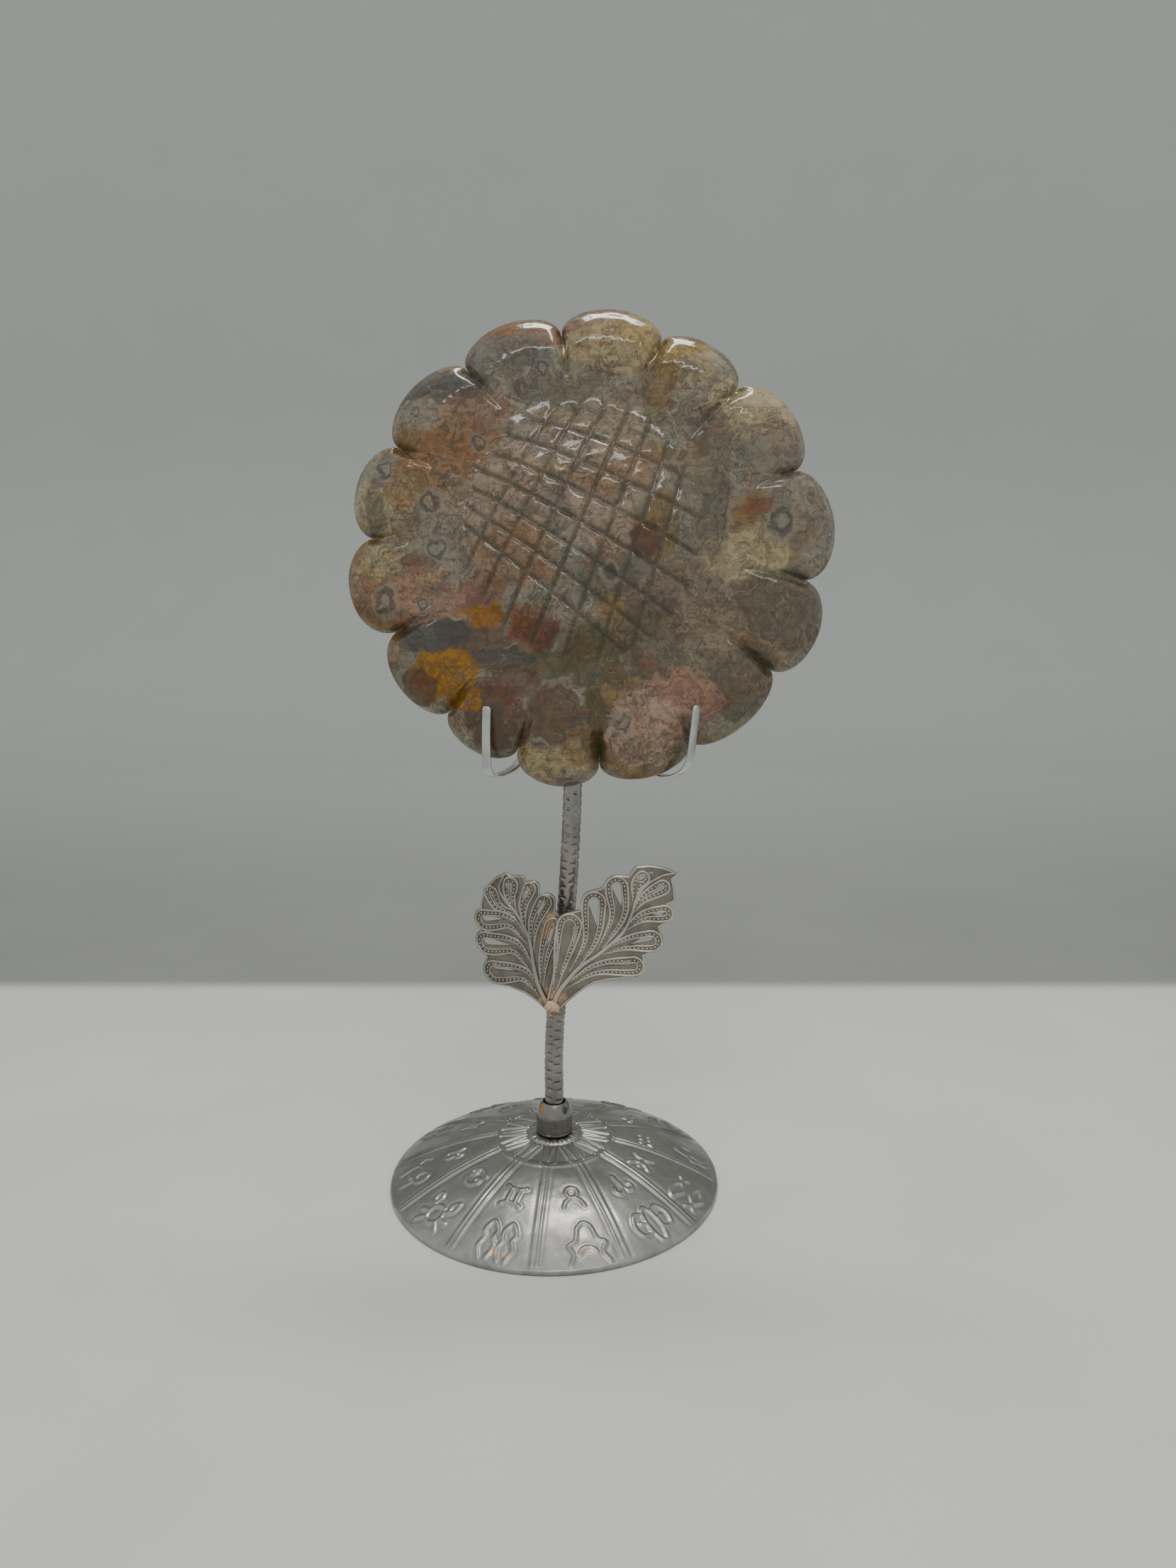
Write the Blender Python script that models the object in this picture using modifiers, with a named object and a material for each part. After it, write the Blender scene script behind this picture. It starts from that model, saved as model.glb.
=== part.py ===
# Agate sunflower carving held by a domed metal stand.
#
# Metres, +Z up. The origin is on the floor, straight below the middle of the flower, and the
# stand's round base sits to the left of it. The flower's face looks along -Y and leans back.

import math

import bmesh
import bpy
from mathutils import Vector

MM = 0.001
GAP = 0.3 * MM

# Driving dimensions of the flower, a disc with a flat back and a carved front.
FLOWER_RADIUS = 52.5 * MM
FLOWER_BACK = Vector((0.0, -1.0, 151.4)) * MM
FLOWER_LEAN = 13.0
EDGE_HEIGHT = 2.6 * MM
SPOKES_PER_PETAL = 7
SPOKE_SPREAD = (0.0, 0.06, 0.2, 0.4, 0.6, 0.8, 0.94)
PETAL_ROUNDNESS = 0.45
PETAL_CROWN = 0.8 * MM
GROOVE_DEPTH = 2.4 * MM

# The notch that starts each petal, in degrees anticlockwise from the right, with its radius,
# and the radius of the petal's tip.
PETALS = (
    (20.9, 46.9, 53.2),
    (47.9, 46.6, 52.2),
    (71.5, 47.8, 53.4),
    (98.1, 47.5, 53.4),
    (124.9, 47.8, 53.1),
    (152.5, 47.1, 53.4),
    (177.5, 47.0, 53.8),
    (203.3, 45.4, 51.9),
    (229.1, 46.9, 51.4),
    (249.9, 46.4, 52.7),
    (271.9, 46.8, 51.7),
    (296.5, 46.9, 51.0),
    (325.5, 46.6, 52.9),
    (351.4, 46.1, 53.35),
)

# Section of the flower from its middle to its edge: share of the radius, height above the back.
FRONT_SECTION = (
    (0.0, 11.5),
    (0.2, 10.9),
    (0.36, 9.4),
    (0.46, 7.5),
    (0.51, 6.0),
    (0.56, 5.4),
    (0.65, 5.7),
    (0.74, 7.2),
    (0.81, 8.2),
    (0.89, 7.1),
    (0.96, 5.0),
    (1.0, 2.6),
)
BACK_SECTION = ((0.98, 0.9), (0.935, 0.0), (0.0, 0.0))
DISC_EDGE = 0.51
VALLEY = 0.56
DISC_CENTRE = Vector((-2.1, 2.8)) * MM
DISC_STRETCH = (0.97, 1.06)

# The two families of grooves that cross on the disc.
LATTICE_WIDTH = 1.1 * MM
LATTICE_STEP = 7.0 * MM
STEEP_GROOVES = tuple((x, 61.0 + 0.33 * (x + 21.0)) for x in (-21.0, -14.3, -7.6, -0.9, 5.8, 12.2, 18.0))
SHALLOW_GROOVES = tuple((y, -30.0 + 0.45 * y) for y in (-19.0, -12.4, -5.8, 0.8, 7.4, 14.0, 20.4))

# Driving dimensions of the stand.
BASE_X = -9.1 * MM
BASE_RADIUS = 40.0 * MM
DOME_HEIGHT = 11.4 * MM
RIM_HEIGHT = 0.9 * MM
DOME_POWER = 2.05
SHEET = 0.9 * MM
FOOT_INNER_RADIUS = 38.3 * MM
BOSS_RADIUS = 6.2 * MM
RING_RADIUS = 14.0 * MM
RELIEF = 0.35 * MM
RIB_COUNT = 12
FIRST_RIB = 205.0
RIB_HALF_WIDTH = 0.7 * MM

COLLAR_RADIUS = 4.4 * MM
COLLAR_FOOT = 12.75 * MM
COLLAR_SHOULDER = 16.8 * MM
COLLAR_DOME = 4.8 * MM
COLLAR_LIP = 0.3 * MM
SOCKET_FLOOR = 15.0 * MM

STEM_FOOT_RADIUS = 2.3 * MM
STEM_TOP_RADIUS = 2.1 * MM
# Points that the stem passes through, from its socket to its tip behind the flower.
STEM_ROUTE = (
    (-9.1, 0.0, 15.3),
    (-9.1, 0.0, 22.0),
    (-9.1, 0.5, 33.0),
    (-8.5, 1.3, 44.0),
    (-7.2, 1.9, 58.0),
    (-5.9, 2.4, 70.0),
    (-4.9, 2.8, 86.0),
    (-4.4, 3.1, 99.0),
    (-3.9, 3.2, 115.0),
    (-3.5, 3.4, 132.0),
    (-3.2, 3.4, 147.0),
    (-3.0, 3.45, 160.0),
)
STEM_POINTS = 26

# The two strips that hold the flower: each is a J in an upright plane through the stem.
STRIP_WIDTH = 2.3 * MM
STRIP_THICKNESS = 0.7 * MM
STRIP_ROOT = Vector((-3.6, 3.35)) * MM
LEFT_TAB = Vector((-22.5, -18.5)) * MM
RIGHT_TAB = Vector((21.0, -17.6)) * MM
# Distance from the tab towards the stem, and height.
LEFT_STRIP = (
    (0.3, 119.0),
    (0.0, 112.5),
    (0.0, 107.2),
    (0.5, 105.2),
    (1.8, 104.0),
    (3.7, 103.7),
    (6.0, 104.1),
    (8.4, 104.9),
    (10.8, 106.7),
    (13.6, 110.5),
    (17.5, 116.3),
    (21.6, 120.6),
    (25.1, 124.2),
    (26.1, 126.6),
    (26.1, 133.0),
)
RIGHT_STRIP = (
    (-1.5, 119.3),
    (-0.7, 113.0),
    (0.0, 108.2),
    (1.1, 105.6),
    (3.0, 104.1),
    (5.4, 103.2),
    (8.0, 103.1),
    (10.8, 104.2),
    (13.4, 106.8),
    (17.2, 112.8),
    (21.6, 117.6),
    (26.0, 121.8),
    (28.5, 124.4),
    (29.5, 126.8),
    (29.5, 133.0),
)

# Leaves, seen from the front, in millimetres from the root where both are soldered on.
LEAF_ROOT = Vector((-8.6, -1.65, 44.4)) * MM
LEAF_SHEET = 0.8 * MM
LEAF_SPACING = 1.15 * MM
ARC_STEPS = 6
# Each lobe is a round end: centre x, centre z, radius. A plain point is a notch or a corner.
RIGHT_LEAF_EDGE = (
    (-2.1, 2.6),
    (-1.4, 6.0),
    (-0.4, 10.6),
    (0.3, 15.8),
    (3.4, 21.7, 3.1),
    (5.7, 25.5),
    (9.1, 27.3, 3.0),
    (10.9, 31.0),
    (14.3, 31.1, 2.9),
    (17.0, 33.8),
    (19.1, 35.3, 0.9),
    (21.9, 36.4),
    (24.8, 36.0),
    (26.8, 35.3),
    (28.3, 34.4),
    (27.2, 33.3),
    (27.7, 30.9),
    (27.0, 28.4, 0.9),
    (26.2, 27.3),
    (25.5, 24.9, 2.2),
    (24.2, 21.6),
    (22.5, 18.1, 2.8),
    (20.7, 14.4),
    (18.6, 11.7, 2.6),
    (15.7, 8.4),
    (12.4, 8.0),
    (9.1, 7.3),
    (5.8, 5.0),
    (2.5, 2.2),
    (0.5, 0.1),
    (-1.2, -1.0),
)
# Each opening is a drop: pointed end x and z, round end x and z, radius of the round end.
RIGHT_LEAF_HOLES = (
    (4.3, 15.1, 4.7, 20.8, 0.8),
    (10.1, 20.3, 9.1, 27.3, 1.3),
    (15.5, 26.3, 14.5, 31.2, 1.3),
    (22.8, 34.9, 19.8, 33.3, 0.6),
    (21.9, 29.0, 24.6, 31.2, 0.9),
    (22.3, 24.4, 24.5, 25.1, 0.8),
    (17.3, 16.9, 21.8, 18.8, 0.95),
    (11.4, 11.7, 17.3, 12.5, 0.7),
)
LEFT_LEAF_EDGE = (
    (-0.9, -0.9),
    (-2.5, 0.3),
    (-4.8, 2.4),
    (-7.5, 4.0),
    (-11.0, 4.9),
    (-14.8, 7.8, 3.0),
    (-16.7, 11.2),
    (-16.7, 14.5, 3.0),
    (-18.1, 17.5),
    (-17.1, 20.1, 2.8),
    (-18.0, 22.6),
    (-18.2, 23.9),
    (-17.6, 26.2),
    (-16.1, 29.2),
    (-14.1, 31.5),
    (-11.4, 33.2),
    (-10.6, 32.5),
    (-9.1, 32.7),
    (-7.7, 32.0, 0.8),
    (-6.9, 31.4),
    (-5.1, 30.2, 1.65),
    (-3.6, 28.3),
    (-1.8, 26.8, 2.0),
    (0.1, 24.6),
    (-0.3, 21.5, 2.4),
    (0.6, 15.3),
    (-0.2, 4.9),
)
LEFT_LEAF_HOLES = (
    (-8.7, 9.1, -14.6, 9.3, 0.8),
    (-9.8, 15.4, -16.5, 15.1, 1.0),
    (-11.9, 21.6, -16.8, 20.8, 0.9),
    (-15.6, 25.3, -15.1, 26.9, 0.4),
    (-10.6, 28.0, -11.0, 30.1, 0.8),
    (-7.6, 26.3, -6.6, 29.3, 0.55),
    (-4.1, 22.2, -3.3, 26.3, 0.8),
    (-2.4, 15.3, -0.8, 19.6, 0.7),
)
LEFT_SWEEP = 30.0
RIGHT_BOW = 2.0 * MM

SOLDER_RADIUS = 1.9 * MM
SOLDER_HEIGHT = 1.1 * MM


def clear_scene():
    for obj in list(bpy.data.objects):
        bpy.data.objects.remove(obj, do_unlink=True)


def new_collection(name):
    collection = bpy.data.collections.new(name)
    bpy.context.scene.collection.children.link(collection)
    return collection


def material(name, color, roughness, metallic):
    mat = bpy.data.materials.new(name)
    mat.use_nodes = True
    shader = mat.node_tree.nodes["Principled BSDF"]
    shader.inputs["Base Color"].default_value = (*color, 1.0)
    shader.inputs["Roughness"].default_value = roughness
    shader.inputs["Metallic"].default_value = metallic
    return mat


def mesh_object(name, mesh, collection, mat=None):
    obj = bpy.data.objects.new(name, mesh)
    collection.objects.link(obj)
    if mat is not None:
        mesh.materials.append(mat)
    return obj


def weld(mesh):
    """Join the points of a mesh that lie in one place."""
    work = bmesh.new()
    work.from_mesh(mesh)
    bmesh.ops.remove_doubles(work, verts=work.verts, dist=0.001 * MM)
    work.to_mesh(mesh)
    work.free()


def applied_mesh(obj):
    """The mesh of an object with its modifiers or its curve's bevel applied, and its caps welded."""
    bpy.context.view_layer.update()
    evaluated = obj.evaluated_get(bpy.context.evaluated_depsgraph_get())
    mesh = bpy.data.meshes.new_from_object(evaluated)
    weld(mesh)
    return mesh


def turned(name, profile, steps, collection, mat):
    """Spin a profile of (radius, height), which runs down its outer side, about Z."""
    work = bmesh.new()
    rail = [work.verts.new((radius, 0.0, height)) for radius, height in profile]
    for first, second in zip(rail, rail[1:]):
        work.edges.new((first, second))
    mesh = bpy.data.meshes.new(name)
    work.to_mesh(mesh)
    work.free()
    blank = mesh_object(name + "_profile", mesh, collection)
    screw = blank.modifiers.new("Spin", "SCREW")
    screw.axis = "Z"
    screw.steps = steps
    screw.render_steps = steps
    screw.use_merge_vertices = True
    screw.merge_threshold = 0.00001
    spun = applied_mesh(blank)
    bpy.data.objects.remove(blank, do_unlink=True)
    return mesh_object(name, spun, collection, mat)


def smooth_step(low, high, value):
    share = min(max((value - low) / (high - low), 0.0), 1.0)
    return share * share * (3.0 - 2.0 * share)


def section_height(share):
    """Height of the front's section above the back, at a share of the radius."""
    for (low, start), (high, end) in zip(FRONT_SECTION, FRONT_SECTION[1:]):
        if share <= high:
            return (start + (end - start) * (share - low) / (high - low)) * MM
    return FRONT_SECTION[-1][1] * MM


def petal_at(spoke):
    """Angle, outline radius and place across the petal of one of the flower's spokes."""
    index, step = divmod(spoke, SPOKES_PER_PETAL)
    place = SPOKE_SPREAD[step]
    start, start_radius, tip_radius = PETALS[index - 1]
    end, end_radius, _ = PETALS[index % len(PETALS)]
    sweep = (end - start) % 360.0
    notch_radius = start_radius + (end_radius - start_radius) * place
    bulge = (4.0 * place * (1.0 - place)) ** PETAL_ROUNDNESS if place else 0.0
    radius = (notch_radius + (tip_radius - notch_radius) * bulge) * MM
    return math.radians(start + sweep * place), radius, place


def spokes_joined(share):
    """How many neighbouring spokes share their points, so that the disc's faces stay large."""
    if share < 0.3:
        return 7
    return 2 if share < 0.49 else 1


def carve_petals(obj):
    """Move the turned disc's points into petals, grooves and a domed disc."""
    spokes = SPOKES_PER_PETAL * len(PETALS)
    for vertex in obj.data.vertices:
        x, y, height = vertex.co
        share = math.hypot(x, y) / FLOWER_RADIUS
        spoke = round(math.atan2(y, x) / math.tau * spokes) % spokes
        if height > EDGE_HEIGHT:
            spoke -= spoke % spokes_joined(share)
        angle, outline, place = petal_at(spoke)
        scalloped = smooth_step(DISC_EDGE, 1.0, share)
        inner = 1.0 - smooth_step(DISC_EDGE, 0.95, share)
        radius = share * (FLOWER_RADIUS + (outline - FLOWER_RADIUS) * scalloped)
        stretch_x = 1.0 + (DISC_STRETCH[0] - 1.0) * inner
        stretch_y = 1.0 + (DISC_STRETCH[1] - 1.0) * inner
        vertex.co.x = radius * math.cos(angle) * stretch_x + DISC_CENTRE.x * inner
        vertex.co.y = radius * math.sin(angle) * stretch_y + DISC_CENTRE.y * inner
        if height > EDGE_HEIGHT * 1.01:
            raised = smooth_step(VALLEY, 0.8, share) * (1.0 - smooth_step(0.94, 1.0, share))
            across = abs(2.0 * place - 1.0)
            groove = smooth_step(0.8, 1.0, across) * GROOVE_DEPTH
            vertex.co.z -= raised * (groove + PETAL_CROWN * across * across)
    weld(obj.data)


def disc_height(x, y):
    """Height of the uncut disc at a point given from the disc's middle."""
    across = x / (FLOWER_RADIUS * DISC_STRETCH[0])
    along = y / (FLOWER_RADIUS * DISC_STRETCH[1])
    return section_height(math.hypot(across, along))


def groove_cutter(name, lines, collection):
    """One mesh of thin rods that follow the dome of the disc along straight lines."""
    reach = FLOWER_RADIUS * DISC_EDGE
    curve = bpy.data.curves.new(name, "CURVE")
    curve.dimensions = "3D"
    curve.bevel_depth = LATTICE_WIDTH / 2.0
    curve.bevel_resolution = 0
    curve.use_fill_caps = True
    for start, slope in lines:
        direction = Vector((math.cos(math.radians(slope)), math.sin(math.radians(slope))))
        middle = start - direction * start.dot(direction)
        half = math.sqrt(max(reach * reach - middle.length_squared, 0.0))
        steps = max(4, round(2.0 * half / LATTICE_STEP))
        spline = curve.splines.new("POLY")
        spline.points.add(steps)
        for index, point in enumerate(spline.points):
            place = middle + direction * half * (2.0 * index / steps - 1.0)
            height = disc_height(place.x, place.y) + 0.1 * MM
            point.co = (place.x + DISC_CENTRE.x, place.y + DISC_CENTRE.y, height, 1.0)
    rods = bpy.data.objects.new(name + "_rods", curve)
    collection.objects.link(rods)
    cutter = mesh_object(name, applied_mesh(rods), collection)
    cutter.matrix_world = rods.matrix_world
    bpy.data.objects.remove(rods, do_unlink=True)
    cutter.hide_render = True
    cutter.display_type = "WIRE"
    return cutter


def flower(parts, cutters, mat):
    section = [(share * FLOWER_RADIUS, height * MM) for share, height in FRONT_SECTION + BACK_SECTION]
    obj = turned("flower", section, SPOKES_PER_PETAL * len(PETALS), parts, mat)
    carve_petals(obj)
    frame = bpy.data.objects.new("flower_frame", None)
    parts.objects.link(frame)
    frame.location = FLOWER_BACK
    frame.rotation_euler.x = math.radians(90.0 - FLOWER_LEAN)
    obj.parent = frame
    steep = [(Vector((x, 0.0)) * MM, slope) for x, slope in STEEP_GROOVES]
    shallow = [(Vector((0.0, y)) * MM, slope) for y, slope in SHALLOW_GROOVES]
    for name, lines in (("steep_grooves", steep), ("shallow_grooves", shallow)):
        cutter = groove_cutter(name, lines, cutters)
        cutter.parent = frame
        cut = obj.modifiers.new(name, "BOOLEAN")
        cut.operation = "DIFFERENCE"
        cut.solver = "EXACT"
        cut.object = cutter
    return obj


def dome_top(radius):
    """Height of the base's upper face."""
    return RIM_HEIGHT + DOME_HEIGHT * (1.0 - (radius / BASE_RADIUS) ** DOME_POWER)


def base_dome(parts, mat):
    """A pressed dome, hollow below, with a flat foot ring, a boss, a ring and twelve ribs."""
    boss_height = dome_top(BOSS_RADIUS) + 0.4 * MM
    top = [(0.0, boss_height), (BOSS_RADIUS, boss_height), (BOSS_RADIUS + 0.4 * MM, dome_top(BOSS_RADIUS + 0.4 * MM))]
    for offset, lift in ((-0.7, 0.0), (0.0, RELIEF), (0.7, 0.0)):
        radius = RING_RADIUS + offset * MM
        top.append((radius, dome_top(radius) + lift))
    for radius in (21.5, 29.0, 35.0, 39.2):
        top.append((radius * MM, dome_top(radius * MM)))
    top.append((BASE_RADIUS, RIM_HEIGHT * 0.6))
    below = [(BASE_RADIUS, 0.0), (FOOT_INNER_RADIUS, 0.0)]
    for radius in (37.0, 30.0, 19.0, 0.0):
        below.append((radius * MM, dome_top(radius * MM) - SHEET))
    obj = turned("base_dome", top + below, RIB_COUNT * 6, parts, mat)
    raise_ribs(obj)
    obj.location.x = BASE_X
    return obj


def raise_ribs(obj):
    """Gather six spokes round each rib, so that two of them carry its flat top."""
    for vertex in obj.data.vertices:
        x, y, height = vertex.co
        radius = math.hypot(x, y)
        if radius < 0.1 * MM:
            continue
        spoke = round(math.atan2(y, x) / math.tau * RIB_COUNT * 6) % (RIB_COUNT * 6)
        rib, step = divmod(spoke, 6)
        half = math.degrees(RIB_HALF_WIDTH / max(radius, RING_RADIUS))
        offset = (-2.0 * half, -half, half, 2.0 * half, 12.0, 18.0)[step]
        angle = math.radians(FIRST_RIB + rib * 360.0 / RIB_COUNT + offset)
        vertex.co.x = radius * math.cos(angle)
        vertex.co.y = radius * math.sin(angle)
        upper = height > dome_top(radius) - 0.1 * MM
        if upper and RING_RADIUS + 0.1 * MM < radius < BASE_RADIUS - 0.1 * MM and step in (1, 2):
            vertex.co.z += RELIEF


def collar(parts, mat):
    """The ferrule on the dome, with a socket for the stem."""
    bore = STEM_FOOT_RADIUS + GAP
    lip_turn = math.acos((bore + COLLAR_LIP) / COLLAR_RADIUS)
    top = COLLAR_SHOULDER + COLLAR_DOME * math.sin(lip_turn)
    profile = [(0.0, SOCKET_FLOOR), (bore, SOCKET_FLOOR), (bore, top)]
    for step in range(6):
        turn = lip_turn * (1.0 - step / 5.0)
        profile.append((COLLAR_RADIUS * math.cos(turn), COLLAR_SHOULDER + COLLAR_DOME * math.sin(turn)))
    profile += [(COLLAR_RADIUS, COLLAR_FOOT), (0.0, COLLAR_FOOT)]
    obj = turned("collar", profile, 32, parts, mat)
    obj.location.x = BASE_X
    return obj


def smooth_route(points, count):
    """Evenly numbered places on a smooth curve through the given points."""
    ends = [points[0] * 2.0 - points[1]] + list(points) + [points[-1] * 2.0 - points[-2]]
    spans = len(points) - 1
    route = []
    for index in range(count):
        place = spans * index / (count - 1)
        span = min(int(place), spans - 1)
        t = place - span
        a, b, c, d = ends[span:span + 4]
        bend = (a * -1.0 + b * 3.0 - c * 3.0 + d) * t ** 3
        route.append(0.5 * (b * 2.0 + (c - a) * t + (a * 2.0 - b * 5.0 + c * 4.0 - d) * t ** 2 + bend))
    return route


def stem(parts, mat):
    curve = bpy.data.curves.new("stem", "CURVE")
    curve.dimensions = "3D"
    curve.bevel_depth = STEM_FOOT_RADIUS
    curve.bevel_resolution = 4
    curve.use_fill_caps = True
    spline = curve.splines.new("POLY")
    spline.points.add(STEM_POINTS - 1)
    taper = STEM_TOP_RADIUS / STEM_FOOT_RADIUS
    route = smooth_route([Vector(point) * MM for point in STEM_ROUTE], STEM_POINTS)
    for index, (point, place) in enumerate(zip(spline.points, route)):
        point.co = (*place, 1.0)
        point.radius = 1.0 + (taper - 1.0) * index / (STEM_POINTS - 1)
    rod = bpy.data.objects.new("stem_rod", curve)
    parts.objects.link(rod)
    obj = mesh_object("stem", applied_mesh(rod), parts, mat)
    bpy.data.objects.remove(rod, do_unlink=True)
    return obj


def flat_shape(name, outlines, thickness, parts, mat):
    """A plate cut to closed outlines, the first one its edge and the others its openings."""
    curve = bpy.data.curves.new(name, "CURVE")
    curve.dimensions = "2D"
    curve.fill_mode = "BOTH"
    curve.extrude = thickness / 2.0
    for outline in outlines:
        spline = curve.splines.new("POLY")
        spline.use_cyclic_u = True
        spline.points.add(len(outline) - 1)
        for point, place in zip(spline.points, outline):
            point.co = (place.x, place.y, 0.0, 1.0)
    plate = bpy.data.objects.new(name + "_plate", curve)
    parts.objects.link(plate)
    obj = mesh_object(name, applied_mesh(plate), parts, mat)
    bpy.data.objects.remove(plate, do_unlink=True)
    return obj


def strip_outline(route):
    """The side view of a bent strip: its middle line moved half its thickness each way."""
    near = []
    far = []
    for index, place in enumerate(route):
        before = route[max(index - 1, 0)]
        after = route[min(index + 1, len(route) - 1)]
        side = (after - before).normalized().orthogonal() * STRIP_THICKNESS / 2.0
        near.append(place + side)
        far.append(place - side)
    return near + far[::-1]


def cradle_strip(name, tab, points, parts, mat):
    """A J-shaped strip in the upright plane that runs from its tab to the stem."""
    route = [Vector((along, height)) * MM for along, height in points]
    obj = flat_shape(name, [strip_outline(route)], STRIP_WIDTH, parts, mat)
    heading = STRIP_ROOT - tab
    obj.location = (tab.x, tab.y, 0.0)
    obj.rotation_euler = (math.radians(90.0), 0.0, math.atan2(heading.y, heading.x))
    return obj


def tangent_angle(point, centre, radius, side):
    """Where a straight edge from a point meets a round end, as an angle about its centre."""
    away = point - centre
    spread = math.acos(min(radius / away.length, 1.0))
    return math.atan2(away.y, away.x) + side * spread


def clockwise_outline(edge):
    """Join corners and round ends, given clockwise, with straight edges and arcs."""
    outline = []
    for index, entry in enumerate(edge):
        centre = Vector(entry[:2])
        if len(entry) == 2:
            outline.append(centre * MM)
            continue
        before = Vector(edge[index - 1][:2])
        after = Vector(edge[(index + 1) % len(edge)][:2])
        start = tangent_angle(before, centre, entry[2], -1.0)
        end = tangent_angle(after, centre, entry[2], 1.0)
        sweep = (start - end) % math.tau
        for step in range(ARC_STEPS + 1):
            turn = start - sweep * step / ARC_STEPS
            outline.append((centre + Vector((math.cos(turn), math.sin(turn))) * entry[2]) * MM)
    return outline


def drop_outline(x0, z0, x1, z1, radius):
    """A drop-shaped opening: a pointed end and a round end."""
    point = Vector((x0, z0))
    centre = Vector((x1, z1))
    start = tangent_angle(point, centre, radius, 1.0)
    end = tangent_angle(point, centre, radius, -1.0)
    sweep = (end - start) % math.tau
    outline = [point * MM]
    for step in range(ARC_STEPS + 1):
        turn = start + sweep * step / ARC_STEPS
        outline.append((centre + Vector((math.cos(turn), math.sin(turn))) * radius) * MM)
    return outline


def leaf(name, edge, holes, depth, parts, mat):
    """A pierced leaf, cut flat and then bent by moving its points to and fro."""
    outlines = [clockwise_outline(edge)] + [drop_outline(*hole) for hole in holes]
    obj = flat_shape(name, outlines, LEAF_SHEET, parts, mat)
    for vertex in obj.data.vertices:
        vertex.co.z -= depth(vertex.co.x, vertex.co.y)
    obj.location = LEAF_ROOT
    obj.rotation_euler.x = math.radians(90.0)
    return obj


def left_depth(x, _):
    """The left leaf sweeps back round the stem."""
    return LEFT_SWEEP * min(x + 2.0 * MM, 0.0) ** 2


def right_depth(x, y):
    """The right leaf lies in front of the left one and bows towards the viewer."""
    reach = math.hypot(x, y)
    return -LEAF_SPACING - RIGHT_BOW * smooth_step(8.0 * MM, 40.0 * MM, reach)


def leaf_solder(parts, mat):
    """The bead of solder over the roots of both leaves."""
    work = bmesh.new()
    bmesh.ops.create_uvsphere(work, u_segments=16, v_segments=8, radius=SOLDER_RADIUS)
    below = [vertex for vertex in work.verts if vertex.co.z < -0.001 * MM]
    bmesh.ops.delete(work, geom=below, context="VERTS")
    rim = [edge for edge in work.edges if edge.is_boundary]
    bmesh.ops.contextual_create(work, geom=rim)
    for vertex in work.verts:
        vertex.co.z *= SOLDER_HEIGHT / SOLDER_RADIUS
    mesh = bpy.data.meshes.new("leaf_solder")
    work.to_mesh(mesh)
    work.free()
    obj = mesh_object("leaf_solder", mesh, parts, mat)
    front = LEAF_SPACING + LEAF_SHEET / 2.0 + GAP
    obj.location = LEAF_ROOT + Vector((-0.8 * MM, -front, 1.5 * MM))
    obj.rotation_euler.x = math.radians(90.0)
    return obj


def shade(obj):
    obj.data.shade_smooth()
    obj.data.set_sharp_from_angle(angle=math.radians(30.0))


def build():
    clear_scene()
    parts = new_collection("agate_sunflower")
    cutters = new_collection("cutters")
    agate = material("agate", (0.50, 0.43, 0.34), 0.12, 0.0)
    pressed = material("pressed_metal", (0.55, 0.54, 0.50), 0.35, 1.0)
    plated = material("plated_metal", (0.50, 0.48, 0.45), 0.28, 1.0)
    spring = material("spring_strip", (0.60, 0.61, 0.58), 0.30, 1.0)
    filigree = material("filigree", (0.56, 0.53, 0.47), 0.35, 1.0)
    copper = material("copper_solder", (0.72, 0.50, 0.36), 0.35, 1.0)
    pieces = [
        flower(parts, cutters, agate),
        base_dome(parts, pressed),
        collar(parts, plated),
        stem(parts, plated),
        cradle_strip("cradle_left", LEFT_TAB, LEFT_STRIP, parts, spring),
        cradle_strip("cradle_right", RIGHT_TAB, RIGHT_STRIP, parts, spring),
        leaf("leaf_left", LEFT_LEAF_EDGE, LEFT_LEAF_HOLES, left_depth, parts, filigree),
        leaf("leaf_right", RIGHT_LEAF_EDGE, RIGHT_LEAF_HOLES, right_depth, parts, filigree),
        leaf_solder(parts, copper),
    ]
    for obj in pieces:
        shade(obj)


build()
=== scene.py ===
"""A sunflower carved from crazy lace agate, resting in the two hooks of its nicked metal stand.

Metres, +Z up, the carved face towards -Y. Each piece is made by its own operator from the
settings in the sidebar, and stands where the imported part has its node.
"""

import math

import bmesh
import bpy
import numpy as np
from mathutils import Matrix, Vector


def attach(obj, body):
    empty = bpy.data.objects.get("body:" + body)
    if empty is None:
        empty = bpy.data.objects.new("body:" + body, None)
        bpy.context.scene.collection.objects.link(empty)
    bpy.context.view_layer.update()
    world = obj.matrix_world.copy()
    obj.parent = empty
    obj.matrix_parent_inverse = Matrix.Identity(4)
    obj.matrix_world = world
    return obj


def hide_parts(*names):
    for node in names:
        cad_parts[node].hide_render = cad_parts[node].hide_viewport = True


bl_info = {
    "name": "Agate Sunflower",
    "version": (1, 0, 0),
    "blender": (4, 5, 0),
    "location": "3D View > Sidebar > Agate Sunflower",
    "description": "Builds a carved agate sunflower, its metal stand and a plain stage",
    "category": "Object",
}

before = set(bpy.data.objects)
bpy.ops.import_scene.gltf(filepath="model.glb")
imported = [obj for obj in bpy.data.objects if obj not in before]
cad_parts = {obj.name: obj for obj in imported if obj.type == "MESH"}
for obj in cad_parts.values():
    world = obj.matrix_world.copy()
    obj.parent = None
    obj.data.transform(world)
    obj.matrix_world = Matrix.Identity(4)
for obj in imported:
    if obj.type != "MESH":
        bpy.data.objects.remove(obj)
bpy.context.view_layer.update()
MM = 0.001

# The flower's own frame: its back's middle, and how far it leans back in degrees.
FLOWER_BACK = Vector((0.0, -1.0, 151.4)) * MM
FLOWER_LEAN = 13.0
FLOWER_RADIUS = 52.5

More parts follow.
